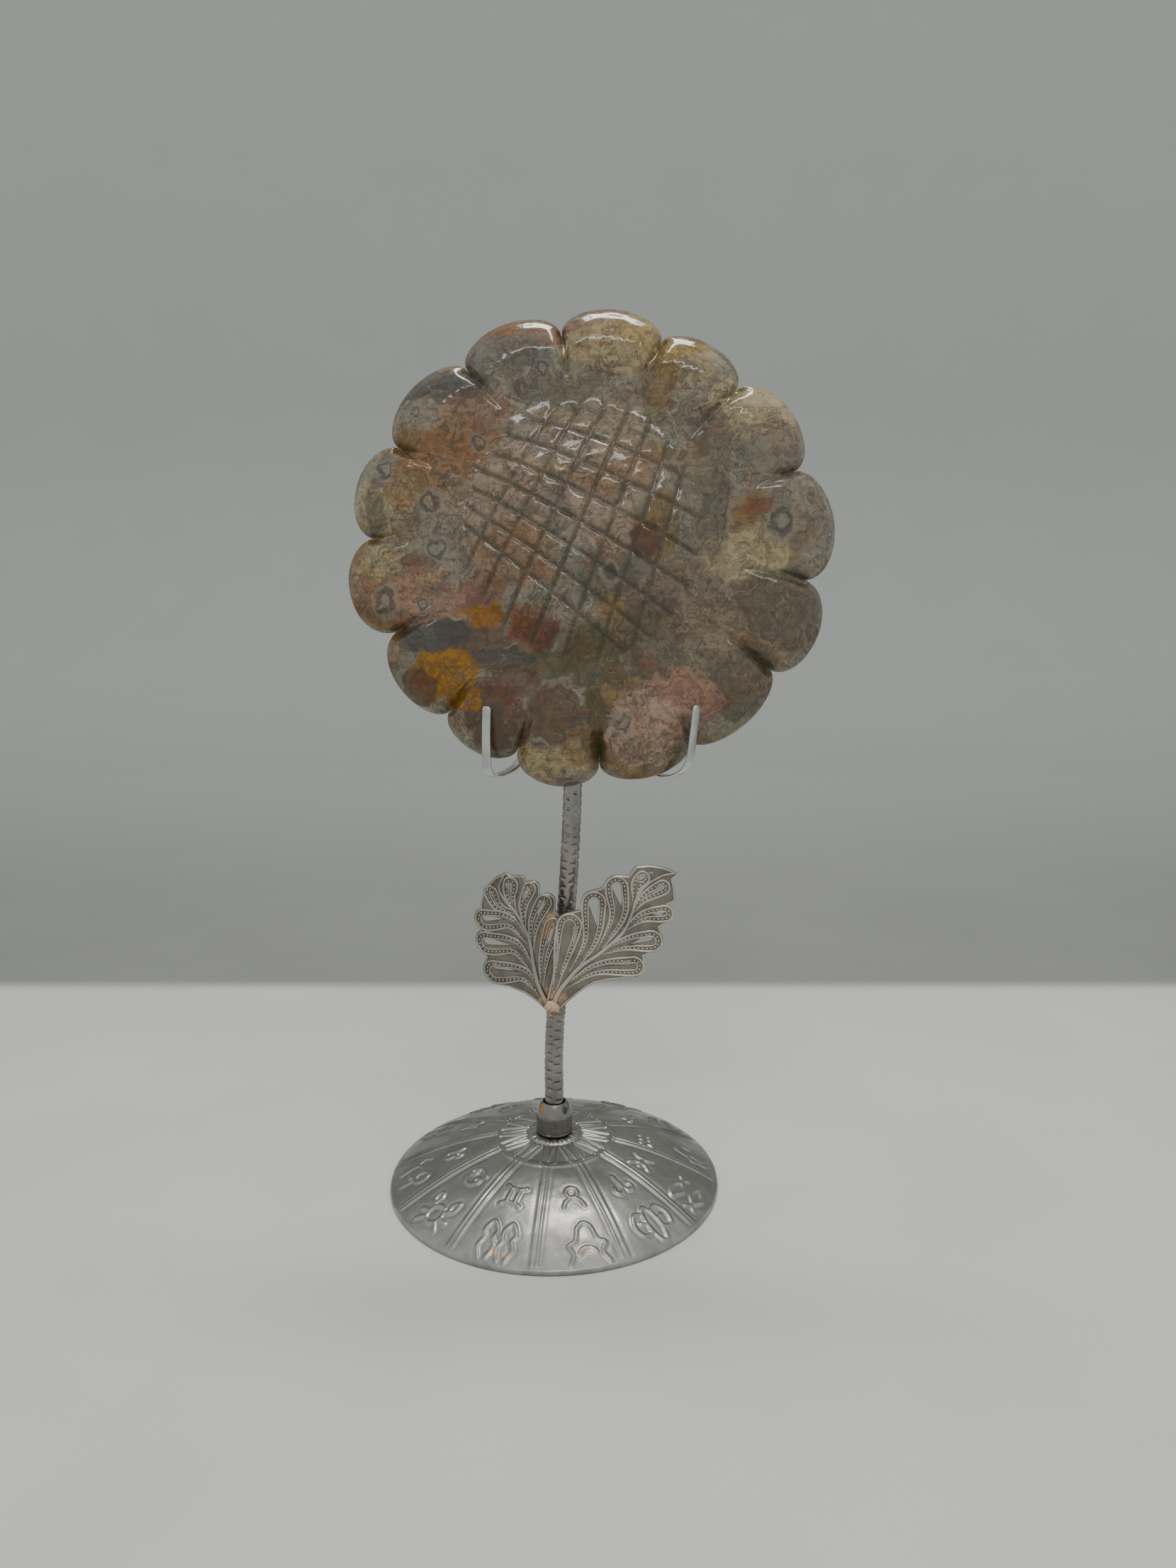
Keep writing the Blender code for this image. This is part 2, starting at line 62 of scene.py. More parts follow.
# Notch that starts each petal, in degrees from the right, its radius, and the petal's tip radius.
PETALS = (
    (20.9, 46.9, 53.2), (47.9, 46.6, 52.2), (71.5, 47.8, 53.4), (98.1, 47.5, 53.4),
    (124.9, 47.8, 53.1), (152.5, 47.1, 53.4), (177.5, 47.0, 53.8), (203.3, 45.4, 51.9),
    (229.1, 46.9, 51.4), (249.9, 46.4, 52.7), (271.9, 46.8, 51.7), (296.5, 46.9, 51.0),
    (325.5, 46.6, 52.9), (351.4, 46.1, 53.35),
)

# The groove between two petals: outer end, inner end, half width and depth.
PETAL_GROOVES = (
    ((44.6, 16.6), (34.5, 12.3), 1.3, 2.0),
    ((32.6, 34.6), (19.6, 22.1), 1.2, 2.2),
    ((15.6, 45.2), (8.4, 30.4), 1.5, 2.3),
    ((-6.7, 46.6), (-5.2, 35.6), 1.2, 2.2),
    ((-27.4, 38.6), (-19.5, 29.6), 1.3, 2.1),
    ((-42.0, 21.0), (-33.4, 16.2), 1.2, 1.9),
    ((-47.2, 1.2), (-39.4, 0.2), 1.1, 1.9),
    ((-41.8, -18.9), (-32.6, -15.4), 1.3, 2.0),
    ((-30.8, -36.0), (-23.6, -27.6), 1.2, 1.9),
    ((-15.6, -44.6), (-11.3, -31.6), 0.9, 1.6),
    ((1.2, -46.6), (1.0, -34.2), 1.6, 2.3),
    ((21.6, -42.4), (18.6, -34.2), 1.1, 1.9),
    ((38.2, -27.0), (27.6, -18.6), 1.2, 1.8),
    ((45.8, -8.2), (31.4, -4.8), 1.1, 1.7),
)

# Section of the carved face: share of the radius, and height above the back.
FACE_SECTION = (
    (0.0, 11.5), (0.1, 11.35), (0.2, 10.9), (0.28, 10.3), (0.36, 9.4), (0.42, 8.4), (0.46, 7.45),
    (0.49, 6.55), (0.515, 6.15), (0.54, 6.05), (0.57, 6.1), (0.61, 6.3), (0.65, 6.6), (0.69, 6.95),
    (0.73, 7.35), (0.77, 7.75), (0.8, 7.95), (0.82, 7.9), (0.85, 7.6), (0.89, 6.95), (0.93, 6.05),
    (0.965, 4.85), (0.985, 3.8), (1.0, 2.6),
)
# Round the edge and across the flat back: share of the radius, and height.
BACK_SECTION = (
    (0.999, 2.0), (0.99, 1.2), (0.975, 0.6), (0.955, 0.15), (0.93, 0.0), (0.8, 0.0), (0.6, 0.0),
    (0.4, 0.0), (0.2, 0.0), (0.06, 0.0),
)
# The disc in the middle: its edge as a share of the radius, its middle, and its stretch each way.
DISC_EDGE = 0.51
DISC_CENTRE = (-2.1, 2.8)
DISC_STRETCH = (0.97, 1.06)
# The disc's lattice: how wide each groove is cut, how wide and deep the stone sinks softly
# towards it, and where its two families cross the disc's axes.
GROOVE_HALF_WIDTH = 0.52
PILLOW_HALF_WIDTH = 1.7
PILLOW_DEPTH = 0.13
STEEP_GROOVES = (-21.0, -14.3, -7.6, -0.9, 5.8, 12.2, 18.0)
SHALLOW_GROOVES = (-19.0, -12.4, -5.8, 0.8, 7.4, 14.0, 20.4)


def smooth_step(low, high, value):
    """Zero below low, one above high, and an even curve between."""
    share = np.clip((value - low) / (high - low), 0.0, 1.0)
    return share * share * (3.0 - 2.0 * share)


def waves(x, y, z, seed, size, count=10):
    """A soft, repeatable unevenness about one unit high, of crossing waves about one size long."""
    chance = np.random.default_rng(seed)
    total = np.zeros_like(x)
    for _ in range(count):
        heading = chance.normal(size=3)
        heading *= chance.uniform(0.6, 1.6) * math.tau / size / np.linalg.norm(heading)
        total += np.sin(x * heading[0] + y * heading[1] + z * heading[2] + chance.uniform(0.0, math.tau))
    return total / math.sqrt(count)


def segment_distance(x, y, start, end):
    """Distance from every point to a straight stroke, and how far along the stroke it lies."""
    dx = end[0] - start[0]
    dy = end[1] - start[1]
    along = np.clip(((x - start[0]) * dx + (y - start[1]) * dy) / (dx * dx + dy * dy), 0.0, 1.0)
    return np.hypot(x - start[0] - along * dx, y - start[1] - along * dy), along


def smooth_route(points, spacing):
    """Places about one spacing apart on a smooth curve through the given points."""
    points = np.array(points, float)
    ends = np.vstack((points[:1] * 2.0 - points[1:2], points, points[-1:] * 2.0 - points[-2:-1]))
    route = []
    for a, b, c, d in zip(ends, ends[1:], ends[2:], ends[3:]):
        steps = max(2, math.ceil(np.linalg.norm(c - b) / spacing))
        for t in np.arange(steps) / steps:
            bend = (a * -1.0 + b * 3.0 - c * 3.0 + d) * t**3
            route.append(0.5 * (b * 2.0 + (c - a) * t + (a * 2.0 - b * 5.0 + c * 4.0 - d) * t**2 + bend))
    route.append(points[-1])
    return np.array(route)


def lofted(rings):
    """Points and faces of a closed skin through rings of points, with a fan at each end."""
    count, around = rings.shape[:2]
    points = np.vstack((rings.reshape(-1, 3), rings[0].mean(axis=0), rings[-1].mean(axis=0)))
    index = np.arange(count * around).reshape(count, around)
    turned = np.roll(index, -1, axis=1)
    quads = np.stack((index[:-1], index[1:], turned[1:], turned[:-1]), axis=-1).reshape(-1, 4).tolist()
    first = [(count * around, a, b) for a, b in zip(index[0].tolist(), turned[0].tolist())]
    last = [(count * around + 1, b, a) for a, b in zip(index[-1].tolist(), turned[-1].tolist())]
    return points, quads + first + last


def swept(route, outline, scales=None):
    """A skin that carries an outline of (side, up) points along a route without twisting it."""
    rings = []
    side = np.array((0.0, 1.0, 0.0))
    for index, place in enumerate(route):
        heading = route[min(index + 1, len(route) - 1)] - route[max(index - 1, 0)]
        heading = heading / np.linalg.norm(heading)
        side = side - heading * side.dot(heading)
        side /= np.linalg.norm(side)
        up = np.cross(heading, side)
        scale = 1.0 if scales is None else scales[index]
        rings.append([place + (side * a + up * b) * scale for a, b in outline])
    return lofted(np.array(rings)[::-1])


def circle(radius, sides):
    """The outline of a round rod."""
    turns = np.arange(sides) * math.tau / sides
    return np.stack((np.cos(turns) * radius, np.sin(turns) * radius), axis=-1)


def joined(shells):
    """One list of points and faces made of several closed skins."""
    points = []
    faces = []
    total = 0
    for shell_points, shell_faces in shells:
        points.append(np.asarray(shell_points, float))
        faces.extend([tuple(index + total for index in face) for face in shell_faces])
        total += len(shell_points)
    return np.vstack(points), faces


def outward(points, faces):
    """The same faces, turned over if their skin is inside out."""
    volume = 0.0
    for face in faces:
        a = points[face[0]]
        for second, third in zip(face[1:], face[2:]):
            volume += float(np.dot(a, np.cross(points[second], points[third])))
    return [face[::-1] for face in faces] if volume < 0.0 else faces


def new_piece(name, points, faces, finish, sharp=None):
    """A mesh piece in metres, from points in millimetres, with its finish."""
    mesh = bpy.data.meshes.new(name)
    mesh.from_pydata((np.asarray(points) * MM).tolist(), [], faces)
    mesh.materials.append(finish)
    mesh.shade_smooth()
    if sharp is not None:
        mesh.set_sharp_from_angle(angle=math.radians(sharp))
    piece = bpy.data.objects.new(name, mesh)
    bpy.context.scene.collection.objects.link(piece)
    return piece


def stand_in_for(piece, node):
    """Let a piece ride on the stand and take the place of its CAD node."""
    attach(piece, "root")
    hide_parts(node)


class Finish:
    """A material built node by node, with its coordinates in millimetres."""

    def __init__(self, name):
        self.material = bpy.data.materials.new(name)
        self.material.use_nodes = True
        self.tree = self.material.node_tree
        self.shader = self.tree.nodes["Principled BSDF"]
        place = self.add("ShaderNodeTexCoord").outputs["Object"]
        self.place = self.vector("SCALE", place, scale=1.0 / MM)

    def add(self, kind, **settings):
        node = self.tree.nodes.new(kind)
        for key, value in settings.items():
            setattr(node, key, value)
        return node

    def feed(self, socket, value):
        if isinstance(value, bpy.types.NodeSocket):
            self.tree.links.new(value, socket)
        elif socket.type == "RGBA" and len(value) == 3:
            socket.default_value = (*value, 1.0)
        else:
            socket.default_value = value

    def math(self, operation, first, second=0.0):
        node = self.add("ShaderNodeMath", operation=operation)
        for socket, value in zip(node.inputs, (first, second)):
            self.feed(socket, value)
        return node.outputs[0]

    def vector(self, operation, first, second=None, scale=None):
        node = self.add("ShaderNodeVectorMath", operation=operation)
        self.feed(node.inputs[0], first)
        if second is not None:
            self.feed(node.inputs[1], second)
        if scale is not None:
            self.feed(node.inputs["Scale"], scale)
        return node.outputs["Value" if operation in ("LENGTH", "DISTANCE", "DOT_PRODUCT") else "Vector"]

    def mix(self, amount, first, second, blend="MIX"):
        node = self.add("ShaderNodeMix", data_type="RGBA", blend_type=blend)
        self.feed(node.inputs["Factor"], amount)
        self.feed(node.inputs[6], first)
        self.feed(node.inputs[7], second)
        return node.outputs[2]

    def ramp(self, value, low, high, to_low=0.0, to_high=1.0):
        node = self.add("ShaderNodeMapRange", interpolation_type="SMOOTHSTEP")
        for socket, number in zip(node.inputs, (value, low, high, to_low, to_high)):
            self.feed(socket, number)
        return node.outputs[0]

    def fac(self, place, size, detail=2.0, roughness=0.5, distortion=0.0):
        """A noise's plain value."""
        return self.noise(place, size, detail, roughness, distortion).outputs["Fac"]

    def times(self, first, second):
        return self.math("MULTIPLY", first, second)

    def contrast(self, amount, color, share, dark, light):
        """Darken and lighten a colour by a share from 0 to 1."""
        return self.mix(amount, color, self.mix(share, dark, light), "OVERLAY")

    def blend(self, amount, first, second):
        """A number between two others."""
        node = self.add("ShaderNodeMix")
        for index, value in ((0, amount), (2, first), (3, second)):
            self.feed(node.inputs[index], value)
        return node.outputs[0]

    def reach(self, place, middle, size):
        """How far a place lies from a spot's middle, where 1 is the spot's edge."""
        return self.vector("LENGTH", self.vector("DIVIDE", self.vector("SUBTRACT", place, middle), size))

    def wander(self, size, strength):
        """A drift of the coordinates, a few millimetres each way."""
        color = self.noise(self.place, size, 3.0, 0.55).outputs["Color"]
        return self.vector("SCALE", self.vector("SUBTRACT", color, (0.5, 0.5, 0.5)), scale=strength)

    def noise(self, place, size, detail=2.0, roughness=0.5, distortion=0.0):
        node = self.add("ShaderNodeTexNoise")
        self.feed(node.inputs["Vector"], place)
        node.inputs["Scale"].default_value = 1.0 / size
        node.inputs["Detail"].default_value = detail
        node.inputs["Roughness"].default_value = roughness
        node.inputs["Distortion"].default_value = distortion
        return node

    def stretched(self, place, stretch, turn):
        node = self.add("ShaderNodeMapping")
        self.feed(node.inputs["Vector"], place)
        node.inputs["Rotation"].default_value = turn
        node.inputs["Scale"].default_value = stretch
        return node.outputs[0]

    def bump(self, height, distance):
        node = self.add("ShaderNodeBump")
        self.feed(node.inputs["Height"], height)
        node.inputs["Distance"].default_value = distance * MM
        node.inputs["Strength"].default_value = 1.0
        self.tree.links.new(node.outputs[0], self.shader.inputs["Normal"])

    def set(self, **values):
        names = {name.lower().replace(" ", "_"): name for name in self.shader.inputs.keys()}
        for key, value in values.items():
            self.feed(self.shader.inputs[names[key]], value)


# The stone's colours, as they look in plain light.
STONE = {
    "slate": (0.044, 0.045, 0.042),
    "blue_grey": (0.115, 0.115, 0.100),
    "grey": (0.170, 0.152, 0.122),
    "pale_grey": (0.225, 0.202, 0.165),
    "moss": (0.104, 0.090, 0.068),
    "cream": (0.330, 0.280, 0.190),
    "warm_cream": (0.320, 0.260, 0.160),
    "yellow": (0.310, 0.235, 0.110),
    "amber": (0.270, 0.135, 0.030),
    "caramel": (0.215, 0.130, 0.078),
    "brown": (0.085, 0.052, 0.034),
    "pink": (0.240, 0.150, 0.115),
    "pale_pink": (0.300, 0.215, 0.170),
    "red": (0.160, 0.068, 0.044),
    "maroon": (0.085, 0.036, 0.027),
    "olive": (0.066, 0.056, 0.022),
    "ochre": (0.140, 0.088, 0.032),
    "tan": (0.175, 0.120, 0.065),
}

# Where each colour lies on the carved face: middle, half width and half height in millimetres,
# colour, and how strongly it covers.
STONE_ZONES = (
    ((0.5, 26), (17, 10), "pale_grey", 0.7),
    ((-22, 10), (13, 15), "pale_pink", 0.55),
    ((5, 9), (12, 13), "pale_pink", 0.45),
    ((20, -4), (14, 26), "grey", 0.75),
    ((14, 3), (6, 8), "ochre", 0.6),
    ((11, 1), (3.5, 5), "maroon", 0.7),
    ((3, -8), (8, 6), "moss", 0.75),
    ((-16, -3), (9, 8), "caramel", 0.7),
    ((-13, -18), (6, 5), "red", 0.8),
    ((-11, -19), (4, 4), "maroon", 0.6),
    ((-24, -12), (6, 6), "red", 0.6),
    ((2, -25), (9, 7), "olive", 0.8),
    ((13, -21), (8, 9), "moss", 0.7),
    ((-14, -26), (9, 4), "olive", 0.7),
    ((-26, -21), (9, 5), "brown", 0.75),
    ((-25, -15), (6, 1.6), "amber", 0.6),
    ((-15, 46), (12, 4), "red", 0.55),
    ((-19, 41), (10, 5), "blue_grey", 0.85),
    ((-17, 35), (11, 4), "pale_grey", 0.6),
    ((1, 49), (12, 4), "red", 0.35),
    ((4, 43), (12, 6), "warm_cream", 0.7),
    ((12, 47), (6, 4), "yellow", 0.6),
    ((20, 40), (7, 6), "yellow", 0.85),
    ((25, 36), (7, 6), "pale_grey", 0.6),
    ((15, 36), (4, 7), "tan", 0.6),
    ((35, 30), (10, 8), "cream", 0.85),
    ((36, 21), (9, 6), "grey", 0.6),
    ((44, 7), (9, 9), "grey", 0.75),
    ((36, 9), (3, 2), "red", 0.7),
    ((33, -2), (10, 6), "cream", 0.85),
    ((41, -14), (11, 9), "moss", 0.9),
    ((33, -31), (9, 9), "moss", 0.85),
    ((19, -33), (9, 7), "pink", 0.9),
    ((13, -40), (10, 8), "pale_pink", 0.9),
    ((22, -40), (3, 5), "grey", 0.5),
    ((1, -39), (3.4, 8), "olive", 0.85),
    ((-8, -37), (7, 6), "brown", 0.85),
    ((-10, -47), (9, 4), "warm_cream", 0.85),
    ((-3, -43), (4, 5), "tan", 0.6),
    ((-21, -38), (7, 7), "brown", 0.85),
    ((-27, -33), (4, 4), "amber", 0.85),
    ((-18, -31), (6, 4), "maroon", 0.6),
    ((-34, -20), (8, 4), "slate", 0.85),
    ((-24, -25), (12, 3), "slate", 0.75),
    ((-32, -28), (8, 6), "amber", 0.85),
    ((-38, -31), (5, 4), "brown", 0.8),
    ((-42, -8), (10, 8), "warm_cream", 0.75),
    ((-38, -5), (4, 2.4), "maroon", 0.75),
    ((-48, -11), (4, 5), "red", 0.5),
    ((-38, -12), (10, 6), "pink", 0.7),
    ((-45, 9), (9, 8), "cream", 0.75),
    ((-45, 16), (4, 4), "blue_grey", 0.7),
    ((-47, 7), (3, 5), "slate", 0.55),
    ((-38, 12), (7, 5), "caramel", 0.65),
    ((-31, 19), (8, 6), "caramel", 0.95),
    ((-27, 24), (9, 4), "caramel", 0.7),
    ((-33, 1), (9, 8), "grey", 0.7),
    ((-34, 34), (11, 5), "slate", 0.85),
    ((-38, 29), (8, 4), "pale_grey", 0.7),
    ((-25, 29), (9, 3.5), "pink", 0.6),
    ((-8, 34), (10, 3), "moss", 0.6),
    ((27, 7), (4, 12), "moss", 0.6),
    ((26, 24), (5, 6), "moss", 0.6),
)

# Little round eyes in the stone: middle and radius.
STONE_EYES = (
    ((-35, 9.2), 3.4),
    ((-24.5, 22.2), 2.2),
    ((-44.4, -12.7), 3.6),
    ((-36.1, -13.4), 1.8),
    ((-44.6, 15.9), 2.8),
    ((-33.5, -0.9), 3.0),
    ((40.6, 4.7), 4.2),
    ((6.6, -39.0), 3.0),
    ((-38.0, 29.0), 2.0),
    ((3.9, -7.2), 3.0),
    ((-10.5, 38.0), 2.2),
)


# Depth in the stone, in millimetres, of the middles of the zones and of the eyes.
ZONE_DEPTH = 6.0
EYE_DEPTH = 6.5
# A distance from an eye, in its radii, that is past all of its rings.
NO_EYE = 9.0
# How much rougher than its gloss the polish is where it is smeared.
SMEAR = 0.06
# Colour of the painted shade in the cut grooves of the disc and between the petals.
PAINTED_GROOVE_SHADE = (0.05, 0.042, 0.028)


def agate_finish(settings):
    """Polished lace agate: clouds of colour, scalloped lines, moss specks and small eyes."""
    stone = Finish("lace_agate")
    place = stone.place
    curl = stone.wander(2.8, 3.8)
    warped = stone.vector("ADD", stone.vector("ADD", place, stone.wander(9.0, 9.0)), curl)
    warped = stone.vector("ADD", warped, stone.wander(1.5, 0.9))

    clouds = stone.fac(warped, 13.0, 4.0, 0.6)
    color = stone.mix(stone.ramp(clouds, 0.42, 0.56), STONE["grey"], STONE["pale_grey"])
    color = stone.mix(stone.ramp(stone.fac(place, 21.0, 2.0), 0.5, 0.6), color, STONE["tan"])
    layers = stone.times(clouds, 1.8)
    for (u, v), (wide, high), name, cover in STONE_ZONES:
        reach = stone.reach(warped, (u, v, ZONE_DEPTH), (wide, high, max(wide, high) * 2.0))
        inside = stone.ramp(reach, 1.08, 0.84, 0.0, cover)
        color = stone.mix(inside, color, STONE[name])
        layers = stone.blend(inside, layers, reach)

    # Broad soft bands, then fine dark and pale lines that follow each cloud's edge.
    orbs = stone.add("ShaderNodeTexVoronoi")
    stone.feed(orbs.inputs["Vector"], warped)
    orbs.inputs["Scale"].default_value = 0.24
    round_edge = stone.times(orbs.outputs["Distance"], 1.5)
    speckled = stone.times(stone.fac(warped, 4.5, 2.0, 0.5), 1.4)
    count = stone.math("ADD", round_edge, speckled)
    count = stone.math("ADD", stone.times(layers, 2.1), count)
    bands = stone.ramp(stone.math("PINGPONG", count, 0.5), 0.05, 0.42)
    color = stone.contrast(0.42, color, bands, (0.3, 0.29, 0.28), (0.68, 0.68, 0.66))
    lace = stone.math("PINGPONG", stone.times(count, 1.6), 0.5)
    present = stone.ramp(stone.fac(place, 8.0, 2.0), 0.46, 0.58, 0.08, 1.0)
    dark_line = stone.times(stone.ramp(lace, 0.1, 0.02), present)
    pale_line = stone.times(stone.ramp(lace, 0.4, 0.48), present)
    color = stone.mix(stone.times(pale_line, settings.line_strength * 0.5), color, STONE["cream"])
    color = stone.mix(stone.times(dark_line, settings.line_strength), color, STONE["slate"])

    # Wandering single lines, like pencil strokes, and rusty threads.
    for size, width, tone in ((5.2, 0.016, "brown"), (7.4, 0.012, "slate"), (6.1, 0.012, "red")):
        thread = stone.fac(warped, size, 2.4, 0.55, 0.9)
        thread = stone.math("ABSOLUTE", stone.math("SUBTRACT", thread, 0.5))
        thread = stone.times(stone.ramp(thread, width, width * 0.25), settings.line_strength * 0.85)
        color = stone.mix(thread, color, STONE[tone])

    # Moss: dark specks in soft patches.
    speck = stone.fac(warped, 1.6, 4.0, 0.7)
    patch = stone.ramp(stone.fac(place, 11.0, 2.0), 0.46, 0.58)
    speck = stone.times(stone.ramp(speck, 0.54, 0.63), patch)
    color = stone.mix(stone.times(speck, settings.moss), color, STONE["slate"])

    # Tiny orbs, each a pale grain with a darker ring.
    cells = stone.add("ShaderNodeTexVoronoi")
    stone.feed(cells.inputs["Vector"], warped)
    cells.inputs["Scale"].default_value = 0.5
    near = cells.outputs["Distance"]
    ring = stone.times(stone.ramp(near, 0.26, 0.4), stone.ramp(near, 0.6, 0.46))
    here = stone.ramp(stone.fac(place, 8.0, 1.5), 0.52, 0.6)
    color = stone.mix(stone.times(stone.times(ring, here), 0.5), color, STONE["moss"])

    # Small eyes, each with a ring or two round a dark middle.
    shaken = stone.vector("ADD", place, stone.vector("ADD", curl, stone.wander(1.2, 1.6)))
    away = NO_EYE
    for (u, v), radius in STONE_EYES:
        reach = stone.reach(shaken, (u, v, EYE_DEPTH), (radius, radius * 1.15, radius * 3.0))
        away = stone.math("MINIMUM", reach, away)
    rings = stone.math("PINGPONG", stone.math("ADD", stone.times(away, 1.7), 0.12), 0.5)
    iris = stone.mix(stone.ramp(rings, 0.1, 0.4), STONE["slate"], STONE["pale_grey"])
    color = stone.mix(stone.ramp(away, 1.15, 0.6, 0.0, 0.6), color, iris)

    # Painted light and shade in streaks along the disc, standing for fine flutes; fine grain; and painted shade
    # in the cut grooves.
    # Painted light and shade: streaks that stand for fine flutes along the disc.
    along_flutes = stone.stretched(place, (0.09, 1.2, 0.4), (0.0, 0.0, math.radians(-68.0)))
    flute_light_and_shade = stone.ramp(stone.fac(along_flutes, 1.0, 2.0), 0.35, 0.65)
    color = stone.contrast(0.16, color, flute_light_and_shade, (0.3, 0.3, 0.3), (0.7, 0.7, 0.7))
    grain = stone.fac(place, 0.8, 4.0, 0.75)
    color = stone.contrast(0.18, color, stone.ramp(grain, 0.3, 0.7), (0.33, 0.33, 0.33), (0.67, 0.67, 0.66))
    # Painted shade: darker where a point lies deeper in a cut groove.
    groove = stone.add("ShaderNodeAttribute", attribute_name="groove").outputs["Fac"]
    color = stone.mix(stone.times(groove, 0.62), color, PAINTED_GROOVE_SHADE)
    lift = stone.add("ShaderNodeHueSaturation")
    stone.feed(lift.inputs["Color"], color)
    lift.inputs["Saturation"].default_value = settings.saturation
    lift.inputs["Value"].default_value = settings.brightness
    color = lift.outputs[0]

    smear = stone.ramp(stone.fac(place, 4.0, 3.0), 0.35, 0.7, settings.gloss, settings.gloss + SMEAR)
    stone.set(base_color=color, roughness=smear, ior=1.43, subsurface_weight=settings.depth_of_glow)
    stone.set(subsurface_radius=(1.0, 0.75, 0.5), subsurface_scale=2.0 * MM)
    ripple = stone.math("ADD", stone.fac(place, 1.1, 2.0), stone.fac(place, 3.5, 1.0))
    stone.bump(ripple, 0.045)
    return stone.material


def petal_edges(spokes_per_petal):
    """Angle, outline radius and place across its petal of every spoke, closest near the notches."""
    turns = []
    radii = []
    places = []
    for index, (start, start_radius, tip) in enumerate(PETALS):
        end, end_radius, _ = PETALS[(index + 1) % len(PETALS)]
        sweep = (end - start) % 360.0
        for step in range(spokes_per_petal):
            place = 0.5 - 0.5 * math.cos(math.pi * step / spokes_per_petal)
            place = 0.35 * step / spokes_per_petal + 0.65 * place
            notch = start_radius + (end_radius - start_radius) * place
            bulge = (4.0 * place * (1.0 - place)) ** 0.45 if step else 0.0
            turns.append(math.radians(start + sweep * place))
            radii.append(notch + (tip - notch) * bulge)
            places.append(place)
    return np.array(turns), np.array(radii), np.array(places)


def lattice_grooves(x, y, half_width):
    """How deep, from 0 to 1, the crossing grooves of the disc are, with x and y from its middle."""
    depth = np.zeros_like(x)
    for start in STEEP_GROOVES:
        turn = math.radians(61.0 + 0.33 * (start + 21.0))
        away = np.abs((x - start) * math.sin(turn) - y * math.cos(turn))
        depth = np.maximum(depth, np.exp(-((away / half_width) ** 2)))
    for start in SHALLOW_GROOVES:
        turn = math.radians(-30.0 + 0.45 * start)
        away = np.abs(x * math.sin(turn) - (y - start) * math.cos(turn))
        depth = np.maximum(depth, np.exp(-((away / half_width) ** 2)))
    return depth


def flower_skin(settings):
    """The carved stone, fourteen petals round a domed disc, and how deep in a groove each point is."""
    turns, outline, places = petal_edges(44)
    table = np.array(FACE_SECTION)
    bands = ((0.008, 0.5, 58), (0.508, 0.93, 42), (0.938, 1.0, 12))
    front = np.concatenate([np.linspace(*band) for band in bands])
    height = np.interp(front, table[:, 0], table[:, 1])
    height = np.convolve(np.pad(height, 2, mode="edge"), (0.1, 0.24, 0.32, 0.24, 0.1), mode="valid")
    height[-1] = table[-1, 1]
    back = np.array(BACK_SECTION)
    share = np.concatenate((front, back[:, 0]))[:, None]
    z = np.concatenate((height, back[:, 1]))[:, None] * np.ones((1, len(turns)))
    scalloped = smooth_step(DISC_EDGE, 1.0, share)
    inner = 1.0 - smooth_step(DISC_EDGE, 0.95, share)
    radius = share * (FLOWER_RADIUS + (outline - FLOWER_RADIUS) * scalloped)
    x = radius * np.cos(turns) * (1.0 + (DISC_STRETCH[0] - 1.0) * inner) + DISC_CENTRE[0] * inner
    y = radius * np.sin(turns) * (1.0 + (DISC_STRETCH[1] - 1.0) * inner) + DISC_CENTRE[1] * inner

    faced = np.zeros_like(z)
    faced[: len(front)] = 1.0
    raised = smooth_step(0.56, 0.8, share) * (1.0 - smooth_step(0.93, 1.0, share)) * faced
    across = np.abs(2.0 * places - 1.0)
    z -= raised * 0.7 * across**2.4
    # How deep in a groove each point lies, kept for the painted shade in the grooves.
    groove = np.zeros_like(z)
    for outer, tip, half_width, depth in PETAL_GROOVES:
        away, along = segment_distance(x, y, outer, tip)
        cut = (1.0 - along**1.6) * np.exp(-((away / half_width / (1.0 - 0.45 * along)) ** 2))
        z -= faced * (1.0 - smooth_step(0.96, 1.0, share)) * depth * 0.7 * cut
        groove = np.maximum(groove, 0.35 * cut * faced)

    grid_x = x - DISC_CENTRE[0]
    grid_y = y - DISC_CENTRE[1]
    on_disc = (1.0 - smooth_step(0.48, 0.525, share)) * faced
    cut = lattice_grooves(grid_x, grid_y, GROOVE_HALF_WIDTH)
    pillow = lattice_grooves(grid_x, grid_y, PILLOW_HALF_WIDTH)
    z -= on_disc * (settings.lattice_depth / MM * cut + PILLOW_DEPTH * pillow)
    groove = np.maximum(groove, on_disc * cut)

    # Hand work: shallow flutes across the upper petals, and an uneven polish.
    fluted = smooth_step(0.76, 0.8, share) * (1.0 - smooth_step(0.84, 0.92, share))
    flutes = np.sin(turns * 150.0) * fluted
    level = z * 0.0
    uneven = 0.09 * waves(x, y, level, 3, 9.0) + 0.035 * waves(x, y, level, 5, 2.6)
    z += faced * (0.045 * flutes + uneven)
    z = np.maximum(z, 0.0)
    points, faces = lofted(np.stack((x, y, z), axis=-1))
    return points, faces, np.append(groove.ravel(), (0.0, 0.0))


# The stand's driving sizes, in millimetres.
FOOT_X = -9.1
FOOT_RADIUS = 40.0
FOOT_HEIGHT = 11.4
FOOT_RIM = 0.9
RING_RADIUS = 14.0
FIRST_RIB = 205.0
# Copper-coloured spots near the rim, partly worn plating and partly painted warm glints: angle, distance from
# the middle, size.
WEAR_AND_GLINT_SPOTS = ((250.5, 37.0, 1.3), (255.5, 37.2, 1.2), (279.5, 35.6, 0.9), (284.5, 36.0, 1.0))


def round_mark(x, y, radius):
    """A small circle, as a closed line."""
    turns = np.linspace(0.0, math.tau, 17)
    return [(x + radius * math.cos(turn), y + radius * math.sin(turn)) for turn in turns]


def mirrored(line):
    return [(-x, y) for x, y in line]


